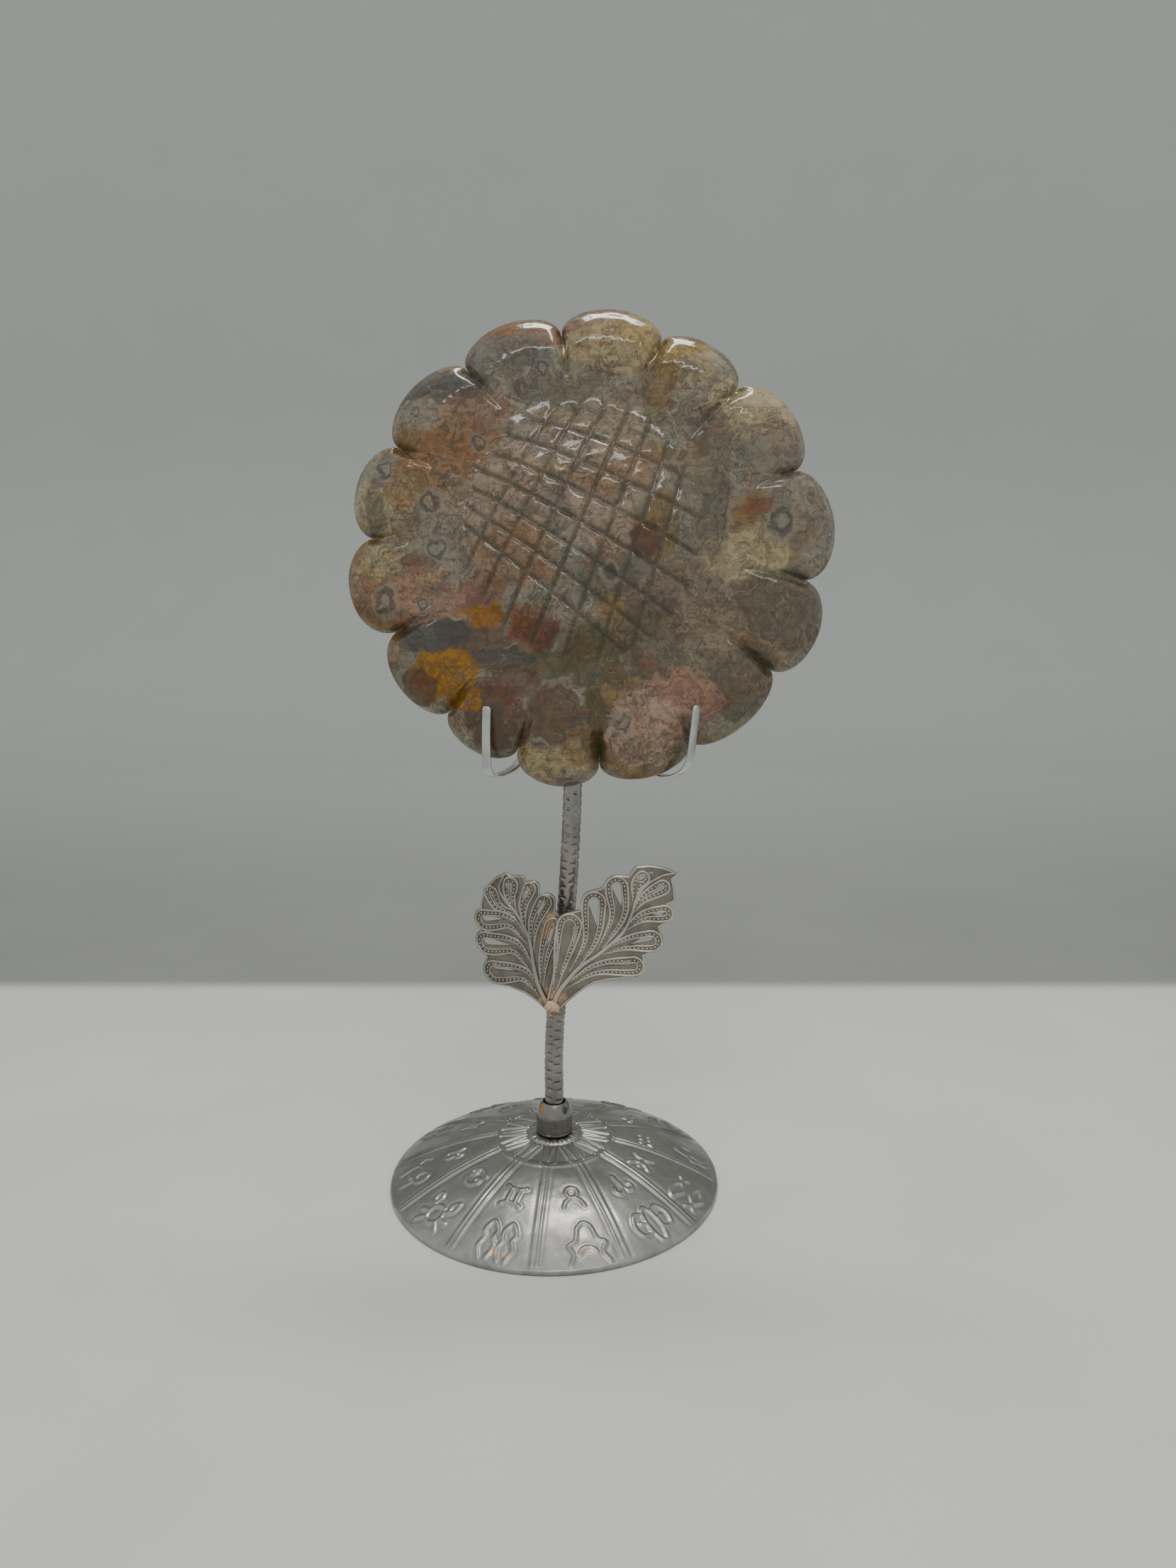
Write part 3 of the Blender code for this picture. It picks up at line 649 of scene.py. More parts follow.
RAM_HORN = [(0, -1), (0, 0.15), (-0.25, 0.75), (-0.65, 0.85), (-0.9, 0.5), (-0.75, 0.15)]
TWIN_BAR = [(-0.9, 0.95), (-0.4, 0.72), (0.4, 0.72), (0.9, 0.95)]
FISH_BOW = [(-0.8, 0.9), (-0.4, 0.4), (-0.4, -0.4), (-0.8, -0.9)]
CRAB_BOW = [(-0.8, 0.45), (-0.3, 0.85), (0.4, 0.8), (0.9, 0.5)]
WATER_LINE = [(-0.9, 0.0), (-0.5, 0.3), (-0.2, 0.0), (0.2, 0.3), (0.5, 0.0), (0.9, 0.3)]
M_STROKES = [
    [(-0.9, 0.7), (-0.7, 0.8), (-0.65, -0.7)],
    [(-0.65, 0.5), (-0.4, 0.8), (-0.2, 0.5), (-0.2, -0.7)],
]

# The twelve old signs, in strokes from -1 to 1 with their tops towards the rim.
SIGNS = {
    "ram": [RAM_HORN, mirrored(RAM_HORN)],
    "bull": [round_mark(0, -0.4, 0.5), [(-0.9, 0.95), (-0.6, 0.45), (0, 0.14), (0.6, 0.45), (0.9, 0.95)]],
    "twins": [
        TWIN_BAR,
        [(x, -y) for x, y in TWIN_BAR],
        [(-0.38, -0.7), (-0.38, 0.7)],
        [(0.38, -0.7), (0.38, 0.7)],
    ],
    "crab": [
        round_mark(-0.55, 0.28, 0.27),
        round_mark(0.55, -0.28, 0.27),
        CRAB_BOW,
        [(-x, -y) for x, y in CRAB_BOW],
    ],
    "lion": [
        round_mark(-0.5, -0.3, 0.3),
        [(-0.3, -0.05), (-0.45, 0.6), (0, 0.95), (0.45, 0.6), (0.2, -0.3), (0.4, -0.85), (0.85, -0.7)],
    ],
    "maiden": M_STROKES
    + [
        [(-0.2, 0.5), (0.05, 0.8), (0.25, 0.5), (0.25, -0.6), (0.7, -0.95)],
        [(0.25, 0.3), (0.6, 0.5), (0.75, 0.1), (0.1, -0.7)],
    ],
    "scales": [
        [(-0.9, -0.7), (0.9, -0.7)],
        [(-0.9, -0.25), (-0.35, -0.25), (-0.5, 0.3), (0, 0.75), (0.5, 0.3), (0.35, -0.25), (0.9, -0.25)],
    ],
    "scorpion": M_STROKES
    + [
        [(-0.2, 0.5), (0.05, 0.8), (0.25, 0.5), (0.25, -0.6), (0.5, -0.85), (0.9, -0.55)],
        [(0.55, -0.5), (0.9, -0.55), (0.95, -0.9)],
    ],
    "archer": [
        [(-0.8, -0.8), (0.8, 0.8)],
        [(0.1, 0.8), (0.8, 0.8), (0.8, 0.1)],
        [(-0.5, 0.1), (0.1, -0.5)],
    ],
    "goat": [
        [(-0.9, 0.7), (-0.6, 0.6), (-0.5, -0.5)],
        [(-0.5, 0.3), (-0.2, 0.7), (0.1, 0.4), (0.1, -0.5), (-0.2, -0.95)],
        round_mark(0.45, -0.35, 0.33),
    ],
    "water": [[(x, y + 0.3) for x, y in WATER_LINE], [(x, y - 0.5) for x, y in WATER_LINE]],
    "fishes": [FISH_BOW, mirrored(FISH_BOW), [(-0.75, 0), (0.75, 0)]],
}

HORN_CURL = [(0.25, -0.55), (0.75, -0.7), (1.1, -0.2), (0.95, 0.35), (0.5, 0.4), (0.4, 0.0), (0.7, -0.2)]
PERSON = [
    (-0.25, 0.95), (-0.55, 0.4), (-0.3, 0.0), (-0.5, -0.3), (-0.3, -0.6), (0, -0.85), (0.3, -0.6),
    (0.45, -0.3), (0.3, 0.0), (0.55, 0.45), (0.3, 0.95),
]
FISH = [(-0.95, 0.2), (-0.6, 0.0), (0.1, 0.28), (0.7, 0.02), (0.95, -0.05), (0.6, -0.25)]
FISH += [(0, -0.3), (-0.6, 0), (-0.95, -0.25)]
CLAW = [(0.45, -0.2), (0.85, -0.5), (0.8, -0.95), (0.5, -0.7), (0.6, -0.35)]
RAM_FACE = [(-0.3, -0.5), (-0.35, 0.3), (-0.15, 0.9), (0.15, 0.9), (0.35, 0.3), (0.3, -0.5)]
RAM_FACE += [(0, -0.85), (-0.3, -0.5)]
HOOF_LEG = [(-0.5, 0.25), (-0.55, 0.85)]

# A plain little figure for each sign, without faces.
FIGURES = {
    "ram": [
        HORN_CURL,
        mirrored(HORN_CURL),
        RAM_FACE,
    ],
    "bull": [
        [(-1, 0.95), (-0.7, 0.5), (-0.95, 0.1), (-0.55, -0.1), (-0.35, -0.7), (0, -0.95), (0.35, -0.7)],
        [(0.35, -0.7), (0.55, -0.1), (0.95, 0.1), (0.75, 0.5), (1, 0.95)],
        [(-0.45, 0.5), (-0.15, 0.3), (0.2, 0.3), (0.5, 0.5)],
    ],
    "twins": [
        [(x * 0.75 - 0.5, y) for x, y in PERSON],
        [(x * 0.75 + 0.5, y) for x, y in PERSON],
        [(-0.2, -0.1), (0.2, -0.2)],
    ],
    "crab": [
        round_mark(0, 0.1, 0.48),
        CLAW,
        mirrored(CLAW),
        [(0.48, 0.1), (1.0, 0.2)],
        [(-0.48, 0.1), (-1.0, 0.2)],
        [(0.4, 0.4), (0.85, 0.75)],
        [(-0.4, 0.4), (-0.85, 0.75)],
    ],
    "lion": [
        round_mark(-0.6, -0.3, 0.38),
        [(-0.3, -0.45), (0.4, -0.4), (0.7, 0.0), (0.6, 0.8)],
        [(-0.55, 0.1), (-0.5, 0.85)],
        [(-0.2, 0.3), (0.35, 0.3)],
        [(0.7, -0.1), (1.0, -0.6), (0.75, -0.9)],
    ],
    "maiden": [PERSON, [(0.4, -0.3), (0.8, -0.7), (0.95, -0.4)]],
    "scales": [
        [(-0.9, -0.5), (0.9, -0.5)],
        [(0, -0.9), (0, 0.8)],
        [(-0.9, -0.5), (-0.9, 0.2)],
        [(0.9, -0.5), (0.9, 0.2)],
        [(-1.0, 0.2), (-0.8, 0.45), (-0.5, 0.2)],
        [(1.0, 0.2), (0.8, 0.45), (0.5, 0.2)],
    ],
    "scorpion": [
        round_mark(0, 0, 0.34),
        CLAW,
        mirrored(CLAW),
        [(0, 0.34), (0.1, 0.8), (0.6, 0.9), (0.75, 0.5)],
        [(0.34, 0.1), (0.8, 0.3)],
        [(-0.34, 0.1), (-0.8, 0.3)],
    ],
    "archer": [
        [(-0.2, -0.95), (0.6, -0.5), (0.7, 0.4), (0.1, 0.95)],
        [(-0.2, -0.95), (0.1, 0.95)],
        [(-0.8, 0.2), (0.95, -0.2)],
    ],
    "goat": [
        [(-0.85, -0.2), (-0.5, -0.5), (0.5, -0.4), (0.75, 0.0), (0.6, 0.85)],
        HOOF_LEG,
        [(-0.2, 0.3), (0.4, 0.3)],
        [(-0.5, -0.5), (-0.2, -0.95), (0.2, -0.9)],
        round_mark(-0.75, -0.25, 0.22),
    ],
    "water": [
        PERSON,
        [(0.5, -0.2), (0.95, 0.0), (0.8, 0.3), (0.98, 0.6), (0.8, 0.9)],
    ],
    "fishes": [[(x, y - 0.45) for x, y in FISH], [(-x, y + 0.5) for x, y in FISH]],
}

# Each sign's name, distance from the middle and angle; then the same for its figure.
SIGN_PLACES = (
    ("lion", 24.1, 188.8, 33.8, 190.3),
    ("crab", 23.1, 219.6, 34.3, 220.3),
    ("twins", 24.0, 249.1, 34.4, 250.6),
    ("bull", 23.6, 281.3, 34.4, 283.3),
    ("ram", 23.6, 311.0, 34.6, 311.4),
    ("fishes", 22.6, 338.5, 34.4, 336.1),
    ("water", 22.5, 3.9, 33.8, 6.4),
    ("goat", 23.4, 34.0, 34.2, 34.4),
    ("archer", 23.4, 64.0, 34.2, 64.4),
    ("scorpion", 23.4, 94.0, 34.2, 94.4),
    ("scales", 23.4, 124.0, 34.2, 124.4),
    ("maiden", 23.4, 154.0, 34.2, 155.0),
)


def foot_top(radius):
    """Height of the pressed dome's upper face, in millimetres."""
    return FOOT_RIM + FOOT_HEIGHT * (1.0 - (radius / FOOT_RADIUS) ** 2.05)


def press_line(z, x, y, line, height, half_width, bounds):
    """Raise a soft ridge, with a shallow valley beside it, along a line of points."""
    near = np.hypot(x - bounds[0], y - bounds[1]) < bounds[2]
    px = x[near]
    py = y[near]
    away = np.full_like(px, 1e3)
    for start, end in zip(line, line[1:]):
        away = np.minimum(away, segment_distance(px, py, start, end)[0])
    away = away / half_width
    lift = height * (np.exp(-(away**2)) - 0.22 * np.exp(-((away - 2.4) ** 2)))
    z[near] = np.where(np.abs(lift) > np.abs(z[near]), lift, z[near])


def pressed_signs(x, y, settings):
    """Relief of the signs and the figures over the dome."""
    relief = np.zeros_like(x)
    height = settings.relief_height / MM
    for name, sign_radius, sign_turn, figure_radius, figure_turn in SIGN_PLACES:
        sign = (SIGNS[name], sign_radius, sign_turn, 2.6)
        figure = (FIGURES[name], figure_radius, figure_turn, 4.4)
        for strokes, radius, turn, size in (sign, figure):
            turn = math.radians(turn)
            outward_way = np.array((math.cos(turn), math.sin(turn)))
            sideways = np.array((math.sin(turn), -math.cos(turn)))
            middle = outward_way * radius
            for stroke in strokes:
                curve = smooth_route(stroke, 0.12) if len(stroke) > 2 else np.array(stroke, float)
                line = middle + curve[:, :1] * size * sideways + curve[:, 1:] * size * outward_way
                press_line(relief, x, y, line, height, 0.34, (middle[0], middle[1], size * 1.7))
    return relief


def foot_skin(settings):
    """The pressed foot: ribs, ring, sun rays, signs and figures over a thin hollow dome."""
    spokes = 720
    turns = (np.arange(spokes) * math.tau / spokes)[None, :]
    height = settings.relief_height / MM
    boss_rings = [0.6, 3.0, 5.0, 5.9, 6.15, 6.35, 6.6]
    upper = np.concatenate((boss_rings, np.linspace(6.9, 39.3, 108), [39.55, 39.8]))[:, None]
    top = foot_top(upper) * np.ones_like(turns)
    x = upper * np.cos(turns)
    y = upper * np.sin(turns)
    level = x * 0.0
    half_rib = settings.rib_width / MM / 2.0
    lift = pressed_signs(x, y, settings)
    between = smooth_step(RING_RADIUS, RING_RADIUS + 0.5, upper) * (1.0 - smooth_step(38.6, 39.4, upper))
    for rib in range(12):
        rib_turn = math.radians(FIRST_RIB + rib * 30.0)
        away = upper * np.sin(turns - rib_turn)
        ahead = np.cos(turns - rib_turn) > 0.0
        edge = np.abs(np.abs(away) - half_rib)
        ridge = 0.8 * np.exp(-((edge / 0.22) ** 2)) + 0.2 * (np.abs(away) < half_rib)
        ridge -= 0.3 * np.exp(-(((np.abs(away) - 1.45) / 0.4) ** 2))
        lift += ahead * between * height * 0.85 * ridge
        for start, tip, end in ((7.5, 15.0, 22.5), (-5.0, 0.0, 5.0)):
            inner, outer = (13.2, 7.0) if tip == 15.0 else (7.2, 12.6)
            line = []
            for radius, offset in ((inner, start), (outer, tip), (inner, end)):
                turn = rib_turn + math.radians(offset)
                line.append((radius * math.cos(turn), radius * math.sin(turn)))
            middle = np.mean(line, axis=0)
            ray = height * (0.8 if tip else 0.5)
            press_line(lift, x, y, line, ray, 0.24, (middle[0], middle[1], 6.0))
    for radius in (RING_RADIUS - 0.45, RING_RADIUS + 0.35):
        line = np.exp(-(((upper - radius) / 0.24) ** 2))
        lift += height * 0.9 * line * (1.0 - 0.25 * np.cos(12.0 * turns))
    boss = 1.0 - smooth_step(6.0, 6.5, upper)
    crumbs = waves(x, y, level, 11, 1.1) * 0.09 + waves(x, y, level, 12, 2.6) * 0.05
    lift = lift * (1.0 - boss) + boss * (0.3 + np.clip(crumbs, -0.1, 0.1))
    dents = 0.035 * waves(x, y, level, 21, 9.0) + 0.012 * waves(x, y, level, 22, 3.0)
    top = top + lift + dents * smooth_step(6.0, 9.0, upper)
    rim = [(39.93, 0.72), (40.0, 0.5), (40.0, 0.2), (39.9, 0.03), (39.7, 0.0), (38.5, 0.0), (38.3, 0.08)]
    rim += [(radius, foot_top(radius) - 0.9) for radius in (37.4, 35.0, 31.0, 26.0, 20.0, 12.0, 4.0)]
    under = np.array(rim)[:, :, None] * np.ones((1, 1, spokes))
    x = np.vstack((x, under[:, 0] * np.cos(turns))) + FOOT_X
    y = np.vstack((y, under[:, 0] * np.sin(turns)))
    z = np.vstack((top, under[:, 1]))
    return lofted(np.stack((x, y, z), axis=-1))


def metal_finish(name, color, roughness, grain, tints=()):
    """Worn satin metal: cloudy sheen, fine scratches, and tinted places.

    Each tinted place is given as its middle, radius, stretch upwards, colour and cover.
    """
    metal = Finish(name)
    place = metal.place
    cloud = metal.fac(place, 6.0, 3.0, 0.6)
    fine = metal.fac(place, 0.5, 3.0, 0.7)
    dull = tuple(share * 0.72 for share in color)
    tone = metal.mix(metal.ramp(cloud, 0.35, 0.68), color, dull)
    tone = metal.mix(metal.ramp(fine, 0.5, 0.8, 0.0, 0.35), tone, dull)
    edge = metal.ramp(metal.fac(place, 1.3, 3.0, 0.65), 0.4, 0.6)
    for middle, radius, stretch, tint, cover in tints:
        reach = metal.reach(place, middle, (radius, radius, radius * stretch))
        reach = metal.math("ADD", reach, metal.times(edge, 0.5))
        tone = metal.mix(metal.ramp(reach, 1.35, 0.7, 0.0, cover), tone, tint)
    shine = metal.ramp(cloud, 0.3, 0.7, roughness * 0.85, roughness * 1.25)
    shine = metal.math("ADD", shine, metal.times(fine, 0.05))
    metal.set(base_color=tone, metallic=1.0, roughness=shine)
    scratch = metal.fac(metal.stretched(place, (0.25, 1.0, 1.0), (0.0, 0.0, 0.5)), 0.35, 2.0)
    metal.bump(metal.math("ADD", fine, scratch), grain)
    return metal.material


def ferrule_skin():
    """The collar: a short drum with a rounded top, a thin lip, and a groove above its foot."""
    profile = [(2.62, 15.1), (2.62, 20.2), (2.72, 20.4), (2.85, 20.42)]
    for turn in np.linspace(math.radians(47.0), 0.0, 14):
        profile.append((4.4 * math.cos(turn), 16.8 + 4.8 * math.sin(turn)))
    profile += [(4.4, 15.2), (4.4, 14.0), (4.4, 13.5), (4.34, 13.36), (4.36, 13.2)]
    profile += [(4.4, 13.05), (4.36, 12.8), (4.2, 12.75)]
    turns = np.arange(72) * math.tau / 72.0
    profile = np.array(profile)[:, :, None] * np.ones((1, 1, 72))
    x = profile[:, 0] * np.cos(turns)
    y = profile[:, 0] * np.sin(turns)
    z = profile[:, 1] + x * 0.0
    away = np.hypot(x, y)
    worn = 0.05 * waves(x, y, z, 31, 3.0) * smooth_step(13.6, 15.0, z) * smooth_step(2.9, 3.3, away)
    shrink = 1.0 - np.abs(worn) / away
    return lofted(np.stack((x * shrink + FOOT_X, y * shrink, z), axis=-1))


STEM_ROUTE = (
    (-9.1, 0.0, 15.3), (-9.1, 0.0, 22.0), (-9.1, 0.5, 33.0), (-8.5, 1.3, 44.0), (-7.2, 1.9, 58.0),
    (-5.9, 2.4, 70.0), (-4.9, 2.8, 86.0), (-4.4, 3.1, 99.0), (-3.9, 3.2, 115.0), (-3.5, 3.4, 132.0),
    (-3.2, 3.4, 147.0), (-3.0, 3.45, 160.0),
)


def stem_skin(settings):
    """The rod: rows of lens-shaped nicks with small burrs, and the leaves' wrapped tails."""
    route = smooth_route(STEM_ROUTE, 0.26)
    sides = 60
    turns = (np.arange(sides) * math.tau / sides)[None, :]
    climb = route[:, 2:3]
    radius = 2.29 - 0.2 * (climb - 15.3) / 145.0 + turns * 0.0
    chance = np.random.default_rng(7)
    pitch = settings.nick_pitch / MM
    depth = settings.nick_depth / MM
    for column in range(6):
        offset = chance.uniform(0.0, pitch)
        for row in range(int(140.0 / pitch)):
            height = 20.5 + offset + row * pitch + chance.uniform(-0.3, 0.3)
            middle = math.tau * column / 6.0 + chance.uniform(-0.2, 0.2)
            near = np.abs(climb[:, 0] - height) < 1.2
            if not near.any():
                continue
            away = (turns - middle + math.pi) % math.tau - math.pi
            across = away * 2.25 / chance.uniform(0.62, 0.86)
            rise = (climb[near] - height + 0.25 * across * chance.uniform(-0.6, 0.6)) / 0.27
            cut = np.exp(-(across**4) - rise**2)
            burr = np.exp(-(across**2) - (rise - 1.7) ** 2)
            radius[near] -= depth * chance.uniform(0.7, 1.2) * (cut - 0.16 * burr)
    wrap = smooth_step(41.4, 42.0, climb) * (1.0 - smooth_step(45.2, 46.0, climb))
    radius = radius * (1.0 - wrap) + wrap * (2.28 + 0.1 * np.sin(climb * 5.2 + turns * 2.0))
    radius = radius * (1.0 - 0.25 * smooth_step(159.4, 160.2, climb))
    heading = np.gradient(route, axis=0)
    heading /= np.linalg.norm(heading, axis=1, keepdims=True)
    side = np.cross((0.0, 1.0, 0.0), heading)
    side /= np.linalg.norm(side, axis=1, keepdims=True)
    up = np.cross(heading, side)
    rings = route[:, None, :] + radius[:, :, None] * (
        np.cos(turns)[:, :, None] * side[:, None, :] + np.sin(turns)[:, :, None] * up[:, None, :]
    )
    return lofted(rings[::-1])


STRIP_ROOT = (-3.6, 3.35)
# Each hook: its tab's place on the floor plan, then distance towards the stem and height.
HOOKS = {
    "left": (
        (-22.5, -18.5),
        (
            (0.3, 119.0), (0.0, 112.5), (0.0, 107.2), (0.5, 105.2), (1.8, 104.0), (3.7, 103.7),
            (6.0, 104.1), (8.4, 104.9), (10.8, 106.7), (13.6, 110.5), (17.5, 116.3), (21.6, 120.6),
            (25.1, 124.2), (26.1, 126.6), (26.1, 133.0),
        ),
    ),
    "right": (
        (21.0, -17.6),
        (
            (-1.5, 119.3), (-0.7, 113.0), (0.0, 108.2), (1.1, 105.6), (3.0, 104.1), (5.4, 103.2),
            (8.0, 103.1), (10.8, 104.2), (13.4, 106.8), (17.2, 112.8), (21.6, 117.6), (26.0, 121.8),
            (28.5, 124.4), (29.5, 126.8), (29.5, 133.0),
        ),
    ),
}


def hook_skin(side, settings):
    """A flat strip with soft edges, bent up in front of the stone, its tab's corners rounded."""
    tab, line = HOOKS[side]
    heading = np.array((STRIP_ROOT[0] - tab[0], STRIP_ROOT[1] - tab[1]))
    heading /= np.linalg.norm(heading)
    route = smooth_route([(tab[0] + heading[0] * a, tab[1] + heading[1] * a, z) for a, z in line], 0.35)
    across = np.array((-heading[1], heading[0], 0.0))
    half = settings.strip_width / MM / 2.0
    thin = 0.35
    soft = 0.28
    outline = []
    for corner, (sx, sy) in enumerate(((1, 1), (-1, 1), (-1, -1), (1, -1))):
        for step in range(5):
            turn = math.radians(90.0 * corner + 22.5 * step)
            wide = sx * (half - soft) + soft * math.cos(turn)
            high = sy * (thin - soft) + soft * math.sin(turn)
            outline.append((wide, high))
    outline = np.array(outline)
    run = np.concatenate(([0.0], np.cumsum(np.linalg.norm(np.diff(route, axis=0), axis=1))))
    rings = []
    for index, place in enumerate(route):
        ahead = route[min(index + 1, len(route) - 1)] - route[max(index - 1, 0)]
        ahead /= np.linalg.norm(ahead)
        flat = np.cross(ahead, across)
        narrow = math.sqrt(max(1.0 - (1.0 - min(run[index] / 0.9, 1.0)) ** 2, 0.04))
        wide = outline[:, 0] * (0.45 + 0.55 * narrow)
        rings.append(place + wide[:, None] * across + outline[:, 1:] * flat)
    return lofted(np.array(rings)[::-1])


# The leaves, in millimetres from the point where both are soldered to the stem.
LEAF_ROOT = (-8.6, -1.65, 44.4)
LEAF_SHEET = 0.8
# Each leaf: its edge clockwise, where three numbers are a round end's middle and radius; its
# drop-shaped openings; its middle rib; and its lobes, as base, bend, end and the end's radius.
LEAVES = {
    "right": (
        (
            (-2.1, 2.6), (-1.4, 6.0), (-0.4, 10.6), (0.3, 15.8), (3.4, 21.7, 3.1), (5.7, 25.5),
            (9.1, 27.3, 3.0), (10.9, 31.0), (14.3, 31.1, 2.9), (17.0, 33.8), (19.1, 35.3, 0.9),
            (21.9, 36.4), (24.8, 36.0), (26.8, 35.3), (28.3, 34.4), (27.2, 33.3), (27.7, 30.9),
            (27.0, 28.4, 0.9), (26.2, 27.3), (25.5, 24.9, 2.2), (24.2, 21.6), (22.5, 18.1, 2.8),
            (20.7, 14.4), (18.6, 11.7, 2.6), (15.7, 8.4), (12.4, 8.0), (9.1, 7.3), (5.8, 5.0),
            (2.5, 2.2), (0.5, 0.1), (-1.2, -1.0),
        ),
        (
            (4.3, 15.1, 4.7, 20.8, 0.8), (10.1, 20.3, 9.1, 27.3, 1.3),
            (15.5, 26.3, 14.5, 31.2, 1.3), (22.8, 34.9, 19.8, 33.3, 0.6),
            (21.9, 29.0, 24.6, 31.2, 0.9), (22.3, 24.4, 24.5, 25.1, 0.8),
            (17.3, 16.9, 21.8, 18.8, 0.95), (11.4, 11.7, 17.3, 12.5, 0.7),
        ),
        (
            (-0.8, 0.6), (0.5, 4.4), (2.5, 7.4), (5.8, 11.3), (10.1, 14.5), (14.0, 18.1),
            (16.3, 20.9), (17.9, 24.8), (18.9, 28.5), (21.0, 31.6), (24.5, 33.9), (27.4, 34.5),
        ),
        (
            ((-0.1, 5.7), (1.6, 13.7), (3.4, 21.7), 3.1),
            ((3.8, 10.0), (8.3, 18.0), (9.1, 27.3), 3.0),
            ((10.1, 15.2), (14.6, 24.0), (14.3, 31.1), 2.9),
            ((18.3, 27.9), (18.9, 31.6), (20.2, 33.4), 1.9),
            ((18.0, 25.2), (20.7, 28.7), (24.8, 31.2), 2.0),
            ((15.9, 20.6), (20.3, 24.0), (25.4, 24.9), 2.2),
            ((10.6, 14.9), (16.8, 17.4), (22.4, 18.1), 2.8),
            ((2.2, 6.2), (9.6, 10.8), (18.4, 11.7), 2.6),
        ),
    ),
    "left": (
        (
            (-0.9, -0.9), (-2.5, 0.3), (-4.8, 2.4), (-7.5, 4.0), (-11.0, 4.9), (-14.8, 7.8, 3.0),
            (-16.7, 11.2), (-16.7, 14.5, 3.0), (-18.1, 17.5), (-17.1, 20.1, 2.8), (-18.0, 22.6),
            (-18.2, 23.9), (-17.6, 26.2), (-16.1, 29.2), (-14.1, 31.5), (-11.4, 33.2),
            (-10.6, 32.5), (-9.1, 32.7), (-7.7, 32.0, 0.8), (-6.9, 31.4), (-5.1, 30.2, 1.65),
            (-3.6, 28.3), (-1.8, 26.8, 2.0), (0.1, 24.6), (-0.3, 21.5, 2.4), (0.6, 15.3),
            (-0.2, 4.9),
        ),
        (
            (-8.7, 9.1, -14.6, 9.3, 0.8), (-9.8, 15.4, -16.5, 15.1, 1.0),
            (-11.9, 21.6, -16.8, 20.8, 0.9), (-15.6, 25.3, -15.1, 26.9, 0.4),
            (-10.6, 28.0, -11.0, 30.1, 0.8), (-7.6, 26.3, -6.6, 29.3, 0.55),
            (-4.1, 22.2, -3.3, 26.3, 0.8), (-2.4, 15.3, -0.8, 19.6, 0.7),
        ),
        (
            (-0.8, 0.4), (-2.7, 3.4), (-4.1, 6.6), (-5.1, 11.1), (-6.0, 17.2), (-7.4, 20.6),
            (-9.3, 23.8), (-11.7, 26.2), (-13.3, 29.0), (-12.0, 32.4),
        ),
        (
            ((-2.8, 3.4), (-7.6, 8.6), (-14.6, 7.9), 3.0),
            ((-4.9, 9.2), (-9.6, 15.2), (-16.5, 14.6), 3.0),
            ((-6.2, 16.6), (-10.8, 21.2), (-16.9, 20.3), 2.8),
            ((-9.5, 23.7), (-13.6, 24.6), (-15.4, 27.4), 2.0),
            ((-9.3, 23.8), (-10.6, 27.6), (-10.4, 30.4), 2.0),
            ((-7.2, 19.9), (-7.4, 25.6), (-5.9, 29.9), 1.7),
            ((-5.6, 14.1), (-4.9, 21.5), (-2.6, 26.6), 2.1),
            ((-3.2, 5.9), (-2.6, 13.3), (-0.5, 20.9), 2.2),
        ),
    ),
}


def leaf_depth(side, x, z):
    """How far back the middle of a leaf's sheet lies behind its root."""
    if side == "left":
        return 0.03 * np.minimum(x + 2.0, 0.0) ** 2
    return -1.15 - 2.0 * smooth_step(8.0, 40.0, np.hypot(x, z))


def tangent_turn(point, centre, radius, side):
    """Where a straight edge from a point meets a round end, as an angle about its centre."""
    away = point - centre
    spread = math.acos(min(radius / away.length, 1.0))
    return math.atan2(away.y, away.x) + side * spread


def arc(centre, radius, start, sweep, steps=12):
    turns = (start + sweep * step / steps for step in range(steps + 1))
    return [centre + Vector((math.cos(turn), math.sin(turn))) * radius for turn in turns]


def leaf_outline(edge):
    """Corners and round ends joined with straight edges and arcs, clockwise."""
    outline = []
    for index, entry in enumerate(edge):
        centre = Vector(entry[:2])
        if len(entry) == 2:
            outline.append(centre)
            continue
        start = tangent_turn(Vector(edge[index - 1][:2]), centre, entry[2], -1.0)
        end = tangent_turn(Vector(edge[(index + 1) % len(edge)][:2]), centre, entry[2], 1.0)
        outline += arc(centre, entry[2], start, -((start - end) % math.tau))
    return outline


def drop_outline(x0, z0, x1, z1, radius):
    """A drop-shaped opening: a pointed end and a round end."""
    point = Vector((x0, z0))
    centre = Vector((x1, z1))
    start = tangent_turn(point, centre, radius, 1.0)
    end = tangent_turn(point, centre, radius, -1.0)
    return [point] + arc(centre, radius, start, (end - start) % math.tau)


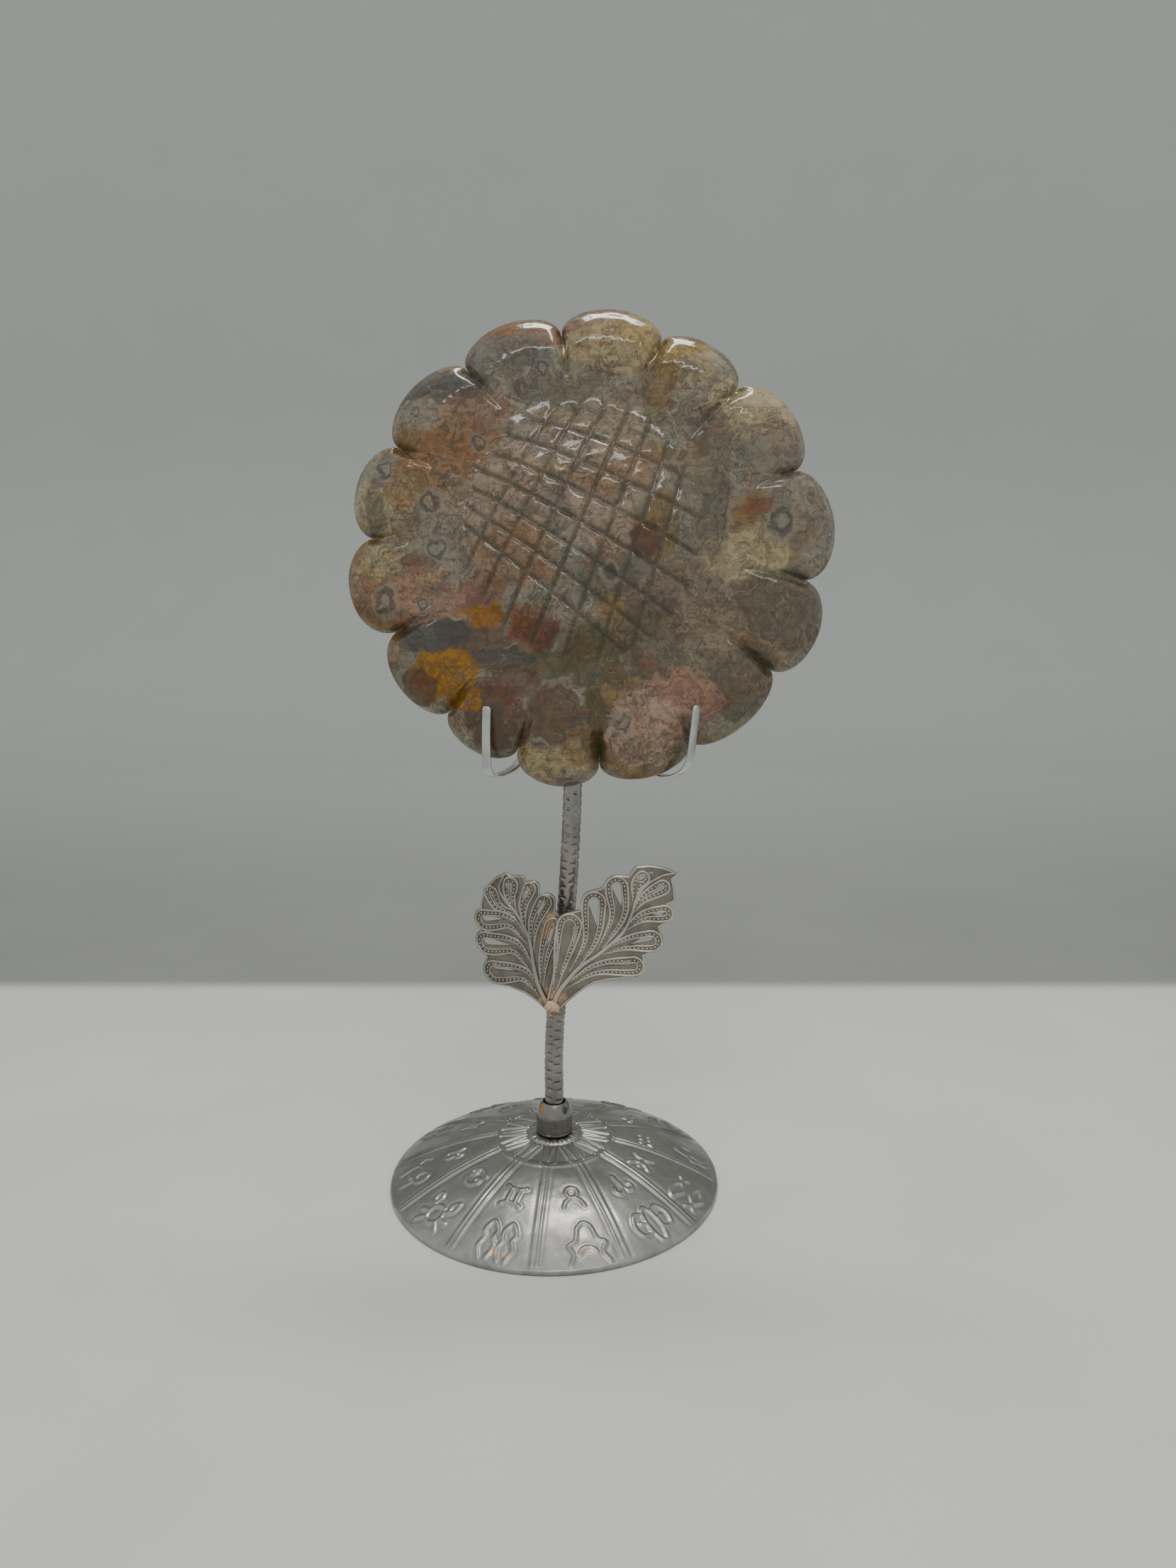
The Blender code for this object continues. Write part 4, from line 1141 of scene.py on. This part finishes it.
def pierced_sheet(side, edge, holes):
    """The leaf's pierced sheet, cut into small squares so that it can follow the leaf's bend."""
    curve = bpy.data.curves.new("leaf_cut", "CURVE")
    curve.dimensions = "2D"
    curve.fill_mode = "BOTH"
    curve.extrude = LEAF_SHEET / 2.0 - 0.08
    curve.bevel_depth = 0.08
    curve.bevel_resolution = 0
    curve.offset = -0.08
    for outline in [leaf_outline(edge)] + [drop_outline(*hole) for hole in holes]:
        spline = curve.splines.new("POLY")
        spline.use_cyclic_u = True
        spline.points.add(len(outline) - 1)
        for point, place in zip(spline.points, outline):
            point.co = (place.x, place.y, 0.0, 1.0)
    flat = bpy.data.objects.new("leaf_cut", curve)
    bpy.context.scene.collection.objects.link(flat)
    bpy.context.view_layer.update()
    mesh = bpy.data.meshes.new_from_object(flat.evaluated_get(bpy.context.evaluated_depsgraph_get()))
    bpy.data.objects.remove(flat, do_unlink=True)
    work = bmesh.new()
    work.from_mesh(mesh)
    bmesh.ops.remove_doubles(work, verts=work.verts, dist=0.002)
    for axis, low, high in ((0, -20, 30), (1, 0, 38)):
        normal = [0.0, 0.0, 0.0]
        normal[axis] = 1.0
        for step in np.arange(low, high, 1.6):
            cut = [0.0, 0.0, 0.0]
            cut[axis] = float(step) + 0.37
            geometry = work.verts[:] + work.edges[:] + work.faces[:]
            bmesh.ops.bisect_plane(work, geom=geometry, plane_co=cut, plane_no=normal, dist=0.0005)
    work.verts.index_update()
    co = np.array([vertex.co for vertex in work.verts])
    faces = [[vertex.index for vertex in face.verts] for face in work.faces]
    work.free()
    bpy.data.meshes.remove(mesh)
    depth = leaf_depth(side, co[:, 0], co[:, 1])
    root = np.array(LEAF_ROOT)
    return root + np.stack((co[:, 0], depth - co[:, 2], co[:, 1]), axis=-1), faces


def on_leaf(side, line, proud=0.0):
    """Points of a flat line laid on the leaf's front face."""
    line = np.asarray(line, float)
    depth = leaf_depth(side, line[:, 0], line[:, 1]) - LEAF_SHEET / 2.0 - proud
    return np.array(LEAF_ROOT) + np.stack((line[:, 0], depth, line[:, 1]), axis=-1)


def lobe_loop(lobe, inset, start=0.0):
    """The line that runs up one side of a lobe, round its end and down its other side."""
    base, bend, end, radius = lobe
    spine = smooth_route((base, bend, end), 0.5)
    ahead = np.gradient(spine, axis=0)
    ahead /= np.linalg.norm(ahead, axis=1, keepdims=True)
    side = np.stack((-ahead[:, 1], ahead[:, 0]), axis=-1)
    share = np.linspace(0.0, 1.0, len(spine))[:, None]
    width = max(radius - inset, 0.15) * (0.16 + 0.84 * smooth_step(-0.1, 1.0, share))
    keep = share[:, 0] >= start
    turn = math.atan2(side[-1][1], side[-1][0])
    turns = np.linspace(turn, turn - math.pi, 15)[1:-1]
    tip = spine[-1] + max(radius - inset, 0.15) * np.stack((np.cos(turns), np.sin(turns)), axis=-1)
    return np.vstack(((spine + side * width)[keep], tip, (spine - side * width)[keep][::-1]))


def wire(side, line, radius):
    """A round wire laid on a leaf, half as thick at both ends."""
    route = on_leaf(side, smooth_route(line, 0.45))
    share = np.linspace(0.0, 1.0, len(route))
    scales = 0.5 + 0.5 * smooth_step(0.0, 0.12, share) * (1.0 - smooth_step(0.88, 1.0, share))
    return swept(route, circle(radius, 8), scales)


def beads(side, line, radius, pitch):
    """A row of small round beads along a line on a leaf."""
    route = smooth_route(line, 0.1)
    run = np.concatenate(([0.0], np.cumsum(np.linalg.norm(np.diff(route, axis=0), axis=1))))
    count = max(2, int(run[-1] / pitch))
    stops = np.arange(count) * pitch
    spots = np.stack([np.interp(stops, run, route[:, axis]) for axis in (0, 1)], axis=-1)
    turns = np.arange(7) * math.tau / 7.0
    shells = []
    for middle in on_leaf(side, spots, 0.02):
        rings = []
        for lift in (80.0, 50.0, 20.0, -20.0):
            wide = radius * math.cos(math.radians(lift))
            high = radius * math.sin(math.radians(lift))
            ring = (np.cos(turns) * wide, turns * 0.0 - high, np.sin(turns) * wide)
            rings.append(middle + np.stack(ring, axis=-1))
        shells.append(lofted(np.array(rings)))
    return shells


def leaf_skins(side, settings):
    """The sheet of a leaf, and everything that is raised on it: rims, beads and ribs."""
    edge, holes, rib, lobes = LEAVES[side]
    rim = settings.rim_radius / MM
    bead = settings.bead_radius / MM
    raised = []
    for lobe, hole in zip(lobes, holes):
        radius = lobe[3]
        raised.append(wire(side, lobe_loop(lobe, rim * 0.9), rim))
        raised += beads(side, lobe_loop(lobe, rim * 1.9 + bead, 0.14), bead, bead * 2.7)
        inner = rim * 1.9 + bead * 2.0 + 0.26
        if radius - inner > 0.3:
            raised.append(wire(side, lobe_loop(lobe, inner, 0.22), 0.24))
        else:
            raised.append(wire(side, drop_line(hole), 0.2))
    route = on_leaf(side, smooth_route(rib, 0.45), 0.05)
    raised.append(swept(route, circle(0.62, 10), np.linspace(1.15, 0.45, len(route))))
    outline = [tuple(point) for point in leaf_outline(edge)]
    outline.append(outline[0])
    inward = []
    for before, here, after in zip([outline[-2]] + outline, outline, outline[1:] + [outline[1]]):
        along = np.subtract(after, before)
        along /= max(np.linalg.norm(along), 1e-6)
        inward.append(np.array(here) + np.array((along[1], -along[0])) * 0.28)
    route = on_leaf(side, inward, 0.0)
    raised.append(swept(route, circle(0.3, 8)))
    return pierced_sheet(side, edge, holes), joined(raised)


def drop_line(hole):
    """A closed line a little outside a drop-shaped opening."""
    x0, z0, x1, z1, radius = hole
    outline = [tuple(point) for point in drop_outline(x0, z0, x1, z1, radius + 0.25)]
    return outline + outline[:1]


def solder_skin():
    """The lumpy bead of solder over the leaves' roots, flat at the back."""
    middle = np.array((LEAF_ROOT[0] - 0.8, LEAF_ROOT[1] - 1.85, LEAF_ROOT[2] + 1.5))
    turns = (np.arange(48) * math.tau / 48.0)[None, :]
    lift = np.radians(np.concatenate((np.linspace(86.0, 6.0, 16), [0.0])))[:, None]
    x = 1.85 * np.cos(lift) * np.cos(turns)
    z = 1.85 * np.cos(lift) * np.sin(turns)
    y = -1.05 * np.sin(lift) + 0.0 * turns
    lumps = 1.0 + 0.09 * waves(x, y, z, 41, 1.0) * np.cos(lift) ** 0.3 - 0.08
    x = np.clip(x * lumps, -1.9, 1.9)
    z = np.clip(z * lumps, -1.9, 1.9)
    y = np.clip(y * lumps, -1.1, 0.0)
    front = middle + np.stack((x, y, z), axis=-1)
    back = front[-1:].copy()
    back[..., 1] = middle[1]
    inner = middle + (back - middle) * 0.5
    return lofted(np.vstack((front, back, inner)))


def length(name, description, default, low, high):
    """A size setting, in metres."""
    return bpy.props.FloatProperty(
        name=name,
        description=description,
        default=default,
        min=low,
        max=high,
        unit="LENGTH",
        subtype="DISTANCE",
    )


def share(name, description, default, high=1.0):
    """A setting between nothing and high."""
    return bpy.props.FloatProperty(
        name=name, description=description, default=default, min=0.0, max=high, subtype="FACTOR"
    )


def power(name, description, default):
    """A light's power, in watts."""
    return bpy.props.FloatProperty(
        name=name, description=description, default=default, min=0.0, max=20.0, unit="POWER"
    )


def tint(name, description, default):
    """A colour setting."""
    return bpy.props.FloatVectorProperty(
        name=name, description=description, default=default, min=0.0, max=1.0, size=3, subtype="COLOR"
    )


class StoneSettings(bpy.types.PropertyGroup):
    """What can be changed on the carved stone."""

    lattice_depth: length("Lattice depth", "Depth of the crossing grooves on the disc", 0.55 * MM, 0.0, 1.2 * MM)
    line_strength: share("Lace lines", "How dark the fine lines in the agate are", 0.72)
    moss: share("Moss", "How dark the moss specks in the agate are", 0.6)
    saturation: share("Saturation", "Strength of the agate's colours", 1.25, 2.0)
    brightness: share("Brightness", "Lightness of the agate", 0.9, 2.0)
    gloss: share("Roughness", "Roughness of the polish", 0.1)
    depth_of_glow: share("Translucency", "How far light soaks into the stone", 0.22)


class FootSettings(bpy.types.PropertyGroup):
    """What can be changed on the pressed foot and the collar."""

    relief_height: length("Relief height", "Height of ribs, signs and figures", 0.34 * MM, 0.0, 0.6 * MM)
    rib_width: length("Rib width", "Distance between the two lines of a rib", 1.25 * MM, 0.4 * MM, 3.0 * MM)
    metal_color: tint("Metal colour", "Colour of the pressed sheet", (0.36, 0.355, 0.335))
    roughness: share("Roughness", "Roughness of the pressed sheet", 0.3)


class StemSettings(bpy.types.PropertyGroup):
    """What can be changed on the stem and the hooks."""

    nick_pitch: length("Nick pitch", "Distance between nicks up the stem", 2.15 * MM, 1.2 * MM, 5.0 * MM)
    nick_depth: length("Nick depth", "Depth of the nicks in the stem", 0.45 * MM, 0.0, 0.5 * MM)
    strip_width: length("Strip width", "Width of the strips that hold the stone", 2.3 * MM, 1.5 * MM, 3.0 * MM)
    metal_color: tint("Metal colour", "Colour of the stem and the collar", (0.29, 0.275, 0.26))
    strip_color: tint("Strip colour", "Colour of the two strips", (0.62, 0.63, 0.60))


class LeafSettings(bpy.types.PropertyGroup):
    """What can be changed on the filigree leaves."""

    rim_radius: length("Rim radius", "Radius of the wire round each lobe", 0.36 * MM, 0.15 * MM, 0.6 * MM)
    bead_radius: length("Bead radius", "Radius of the small beads", 0.36 * MM, 0.1 * MM, 0.5 * MM)
    wire_color: tint("Wire colour", "Colour of the rims and beads", (0.52, 0.485, 0.43))
    ground_color: tint("Ground colour", "Colour of the darker sheet between the rims", (0.26, 0.235, 0.19))


class StageSettings(bpy.types.PropertyGroup):
    """What can be changed on the stage, the lights and the camera."""

    floor_color: tint("Floor colour", "Colour of the pale floor", (0.66, 0.67, 0.65))
    wall_color: tint("Wall colour", "Colour of the backdrop", (0.47, 0.48, 0.46))
    ambient: share("Ambient light", "Strength of the light from all round", 0.87, 3.0)
    overhead: power("Overhead light", "Power of the broad light above", 0.85)
    strip: power("Strip light", "Power of the narrow light above the viewer", 0.5)
    lens: bpy.props.FloatProperty(
        name="Focal length",
        description="Focal length of the camera",
        default=25.99,
        min=10.0,
        max=200.0,
        unit="CAMERA",
    )
    camera_place: bpy.props.FloatVectorProperty(
        name="Camera place",
        description="Where the camera stands",
        default=(-0.88 * MM, -256.5 * MM, 147.6 * MM),
        size=3,
        subtype="TRANSLATION",
        unit="LENGTH",
    )
    camera_pitch: bpy.props.FloatProperty(
        name="Camera tilt",
        description="Tilt of the camera from straight down",
        default=math.radians(79.23),
        subtype="ANGLE",
        unit="ROTATION",
    )


class AGATE_OT_flower(bpy.types.Operator):
    """Carve the agate flower in place of its plain solid"""

    bl_idname = "agate.flower"
    bl_label = "Carve the Flower"

    def execute(self, context):
        settings = context.scene.agate_stone
        points, faces, groove = flower_skin(settings)
        stone = new_piece("carved_flower", points, outward(points, faces), agate_finish(settings))
        shade = stone.data.attributes.new("groove", "FLOAT", "POINT")
        shade.data.foreach_set("value", groove.astype(np.float32))
        stone.location = FLOWER_BACK
        stone.rotation_euler.x = math.radians(90.0 - FLOWER_LEAN)
        stand_in_for(stone, "flower")
        return {"FINISHED"}


class AGATE_OT_foot(bpy.types.Operator):
    """Press the ribbed foot with its signs, and turn the collar on it"""

    bl_idname = "agate.foot"
    bl_label = "Press the Foot"

    def execute(self, context):
        settings = context.scene.agate_foot
        copper = (0.62, 0.40, 0.27)
        residue = (0.20, 0.15, 0.09)
        tints = [((FOOT_X, 0.0, 12.6), 5.4, 1.0, residue, 0.8)]
        # Copper-coloured spots near the rim: worn plating and painted warm glints.
        for turn, radius, size in WEAR_AND_GLINT_SPOTS:
            turn = math.radians(turn)
            middle = (FOOT_X + radius * math.cos(turn), radius * math.sin(turn), foot_top(radius))
            tints.append((middle, size, 1.0, copper, 0.85))
        finish = metal_finish("pressed_sheet", tuple(settings.metal_color), settings.roughness, 0.02, tints)
        points, faces = foot_skin(settings)
        foot = new_piece("pressed_foot", points, outward(points, faces), finish)
        stand_in_for(foot, "base_dome")
        rust = (0.36, 0.17, 0.07)
        tints = [
            ((FOOT_X - 3.2, -1.6, 19.6), 1.7, 1.4, rust, 0.8),
            ((FOOT_X - 1.2, -4.4, 13.4), 0.9, 0.6, copper, 0.9),
            # A near-black spot on the collar's upper right: painted shade of a small recess that is not cut.
            ((FOOT_X + 2.6, -2.6, 19.2), 1.1, 1.6, (0.05, 0.05, 0.05), 0.9),
        ]
        plating = tuple(context.scene.agate_stem.metal_color)
        finish = metal_finish("collar_plating", plating, 0.2, 0.03, tints)
        points, faces = ferrule_skin()
        collar = new_piece("turned_collar", points, outward(points, faces), finish, 40.0)
        stand_in_for(collar, "collar")
        return {"FINISHED"}


class AGATE_OT_stem(bpy.types.Operator):
    """Draw the nicked stem"""

    bl_idname = "agate.stem"
    bl_label = "Draw the Stem"

    def execute(self, context):
        settings = context.scene.agate_stem
        # A painted warm reflection: a long warm streak up the front of the stem.
        warm_reflection = (0.50, 0.33, 0.20)
        tints = [
            ((-5.6, 0.2, 80.0), 2.0, 5.0, warm_reflection, 0.2),
            ((-8.6, -1.0, 43.6), 2.6, 1.0, (0.25, 0.2, 0.14), 0.6),
        ]
        finish = metal_finish("nicked_plating", tuple(settings.metal_color), 0.27, 0.04, tints)
        points, faces = stem_skin(settings)
        stem = new_piece("nicked_stem", points, outward(points, faces), finish)
        stand_in_for(stem, "stem")
        return {"FINISHED"}


class AGATE_OT_hooks(bpy.types.Operator):
    """Bend the two strips that hold the stone"""

    bl_idname = "agate.hooks"
    bl_label = "Bend the Hooks"

    def execute(self, context):
        settings = context.scene.agate_stem
        finish = metal_finish("bright_strip", tuple(settings.strip_color), 0.24, 0.02)
        for side in HOOKS:
            points, faces = hook_skin(side, settings)
            hook = new_piece("bent_hook_" + side, points, outward(points, faces), finish, 40.0)
            stand_in_for(hook, "cradle_" + side)
        return {"FINISHED"}


class AGATE_OT_leaves(bpy.types.Operator):
    """Pierce and bead the two filigree leaves, and solder them on"""

    bl_idname = "agate.leaves"
    bl_label = "Pierce the Leaves"

    def execute(self, context):
        settings = context.scene.agate_leaf
        copper = (0.66, 0.43, 0.28)
        root = Vector(LEAF_ROOT)
        # The left leaf's wire and ground are dimmed: painted shade.
        for side, painted_shade_dim in (("right", 1.0), ("left", 0.78)):
            wire_color = tuple(part * painted_shade_dim for part in settings.wire_color)
            ground_color = tuple(part * (0.6 + 0.4 * painted_shade_dim) for part in settings.ground_color)
            tints = [((root.x - 0.8, root.y - 1.5, root.z + 2.0), 3.6, 1.3, copper, 0.6)]
            if side == "left":
                tints.append(((root.x - 0.6, root.y, root.z + 20.5), 3.0, 1.3, copper, 0.5))
            bright = metal_finish("leaf_wire_" + side, wire_color, 0.27, 0.02, tints)
            ground = metal_finish("leaf_ground_" + side, ground_color, 0.42, 0.05, tints)
            (sheet_points, sheet_faces), (raised_points, raised_faces) = leaf_skins(side, settings)
            raised_faces = outward(raised_points, raised_faces)
            points, faces = joined([(sheet_points, sheet_faces), (raised_points, raised_faces)])
            leaf = new_piece("filigree_" + side, points, faces, ground, 50.0)
            leaf.data.materials.append(bright)
            which = np.zeros(len(faces), np.int32)
            which[len(sheet_faces) :] = 1
            leaf.data.polygons.foreach_set("material_index", which)
            stand_in_for(leaf, "leaf_" + side)
        points, faces = solder_skin()
        finish = metal_finish("copper_bead", (0.72, 0.50, 0.36), 0.3, 0.06)
        solder = new_piece("solder_bead", points, outward(points, faces), finish, 50.0)
        stand_in_for(solder, "leaf_solder")
        return {"FINISHED"}


def soft_light(name, place, aim, size, watts, color):
    """A rectangular light that looks at a point."""
    light = bpy.data.lights.new(name, "AREA")
    light.shape = "RECTANGLE"
    light.size, light.size_y = size
    light.energy = watts
    light.color = color
    lamp = bpy.data.objects.new(name, light)
    lamp.location = place
    lamp.rotation_euler = (Vector(aim) - Vector(place)).to_track_quat("-Z", "Y").to_euler()
    bpy.context.scene.collection.objects.link(lamp)


# The paper sweep, in millimetres: the floor's level, where the fold to the wall starts, its
# radius, the wall's top and half the width. Behind the foot the floor is painted, between these two
# pairs of distances, with a darker band of painted shade, as at a wall's fold, and then the wall's tone.
FLOOR_LEVEL = -0.05
FOLD_START = 600.0
FOLD_RADIUS = 300.0
WALL_TOP = 1500.0
SWEEP_HALF_WIDTH = 1400.0
SHADE = 0.56
WARM = (1.0, 0.98, 0.93)
NEUTRAL = (1.0, 0.99, 0.96)
FLOOR_TO_SHADE = (124.0, 137.0)
SHADE_TO_WALL = (140.0, 620.0)


class AGATE_OT_stage(bpy.types.Operator):
    """Set up the pale floor and backdrop, the soft lights and the camera"""

    bl_idname = "agate.stage"
    bl_label = "Set the Stage"

    def execute(self, context):
        settings = context.scene.agate_stage
        paper = Finish("pale_paper")
        cloud = paper.fac(paper.place, 60.0, 3.0)
        parts = paper.add("ShaderNodeSeparateXYZ")
        paper.feed(parts.inputs[0], paper.place)
        behind = parts.outputs["Y"]
        # Painted shade: a darker band on the floor behind the foot, then the wall's tone.
        shade = tuple(part * SHADE for part in settings.wall_color)
        tone = paper.mix(paper.ramp(behind, *FLOOR_TO_SHADE), tuple(settings.floor_color), shade)
        tone = paper.mix(paper.ramp(behind, *SHADE_TO_WALL), tone, tuple(settings.wall_color))
        tone = paper.mix(paper.ramp(cloud, 0.3, 0.7, 0.0, 0.12), tone, (0.4, 0.41, 0.4))
        paper.set(base_color=tone, roughness=0.75, specular_ior_level=0.2)
        profile = [(y, FLOOR_LEVEL) for y in (-900.0, -300.0, 120.0, FOLD_START)]
        for step in range(1, 13):
            turn = math.radians(7.5 * step)
            rise = FOLD_RADIUS * (1.0 - math.cos(turn))
            profile.append((FOLD_START + FOLD_RADIUS * math.sin(turn), FLOOR_LEVEL + rise))
        profile.append((FOLD_START + FOLD_RADIUS, WALL_TOP))
        points = [(x, y, z) for y, z in profile for x in (-SWEEP_HALF_WIDTH, SWEEP_HALF_WIDTH)]
        faces = [(2 * row, 2 * row + 1, 2 * row + 3, 2 * row + 2) for row in range(len(profile) - 1)]
        new_piece("paper_sweep", points, faces, paper.material)

        world = bpy.data.worlds.new("soft_room")
        context.scene.world = world
        world.use_nodes = True
        backdrop = world.node_tree.nodes["Background"]
        backdrop.inputs["Color"].default_value = (0.90, 0.93, 0.91, 1.0)
        backdrop.inputs["Strength"].default_value = settings.ambient
        for name, place, aim, size, watts, color in (
            ("overhead_panel", (0.03, 0.1, 0.52), (0, -0.02, 0.02), (0.2, 0.06), settings.overhead, WARM),
            ("front_strip", (0.03, -0.26, 0.52), (0, 0, 0.15), (0.3, 0.03), settings.strip, NEUTRAL),
        ):
            soft_light(name, place, aim, size, watts, color)

        camera = bpy.data.cameras.new("viewer")
        camera.lens = settings.lens
        camera.sensor_width = 36.0
        camera.clip_start = 0.01
        eye = bpy.data.objects.new("viewer", camera)
        eye.location = settings.camera_place
        eye.rotation_euler = (settings.camera_pitch, 0.0, 0.0)
        context.scene.collection.objects.link(eye)
        context.scene.camera = eye
        return {"FINISHED"}


SETTINGS = {
    "agate_stone": StoneSettings,
    "agate_foot": FootSettings,
    "agate_stem": StemSettings,
    "agate_leaf": LeafSettings,
    "agate_stage": StageSettings,
}
OPERATORS = (AGATE_OT_flower, AGATE_OT_foot, AGATE_OT_stem, AGATE_OT_hooks, AGATE_OT_leaves, AGATE_OT_stage)


class AGATE_PT_sidebar(bpy.types.Panel):
    """Settings and steps of the agate sunflower"""

    bl_idname = "AGATE_PT_sidebar"
    bl_label = "Agate Sunflower"
    bl_space_type = "VIEW_3D"
    bl_region_type = "UI"
    bl_category = "Agate Sunflower"

    def draw(self, context):
        for name, group in SETTINGS.items():
            box = self.layout.box()
            for setting in group.__annotations__:
                box.prop(getattr(context.scene, name), setting)
        for operator in OPERATORS:
            self.layout.operator(operator.bl_idname)


def register():
    for group in (*SETTINGS.values(), *OPERATORS, AGATE_PT_sidebar):
        bpy.utils.register_class(group)
    for name, group in SETTINGS.items():
        setattr(bpy.types.Scene, name, bpy.props.PointerProperty(type=group))


def unregister():
    for name in SETTINGS:
        delattr(bpy.types.Scene, name)
    for group in reversed((*SETTINGS.values(), *OPERATORS, AGATE_PT_sidebar)):
        bpy.utils.unregister_class(group)


def main():
    """Build every piece."""
    register()
    bpy.ops.agate.stage()
    bpy.ops.agate.flower()
    bpy.ops.agate.foot()
    bpy.ops.agate.stem()
    bpy.ops.agate.hooks()
    bpy.ops.agate.leaves()
    bpy.context.view_layer.update()


if __name__ == "__main__":
    main()
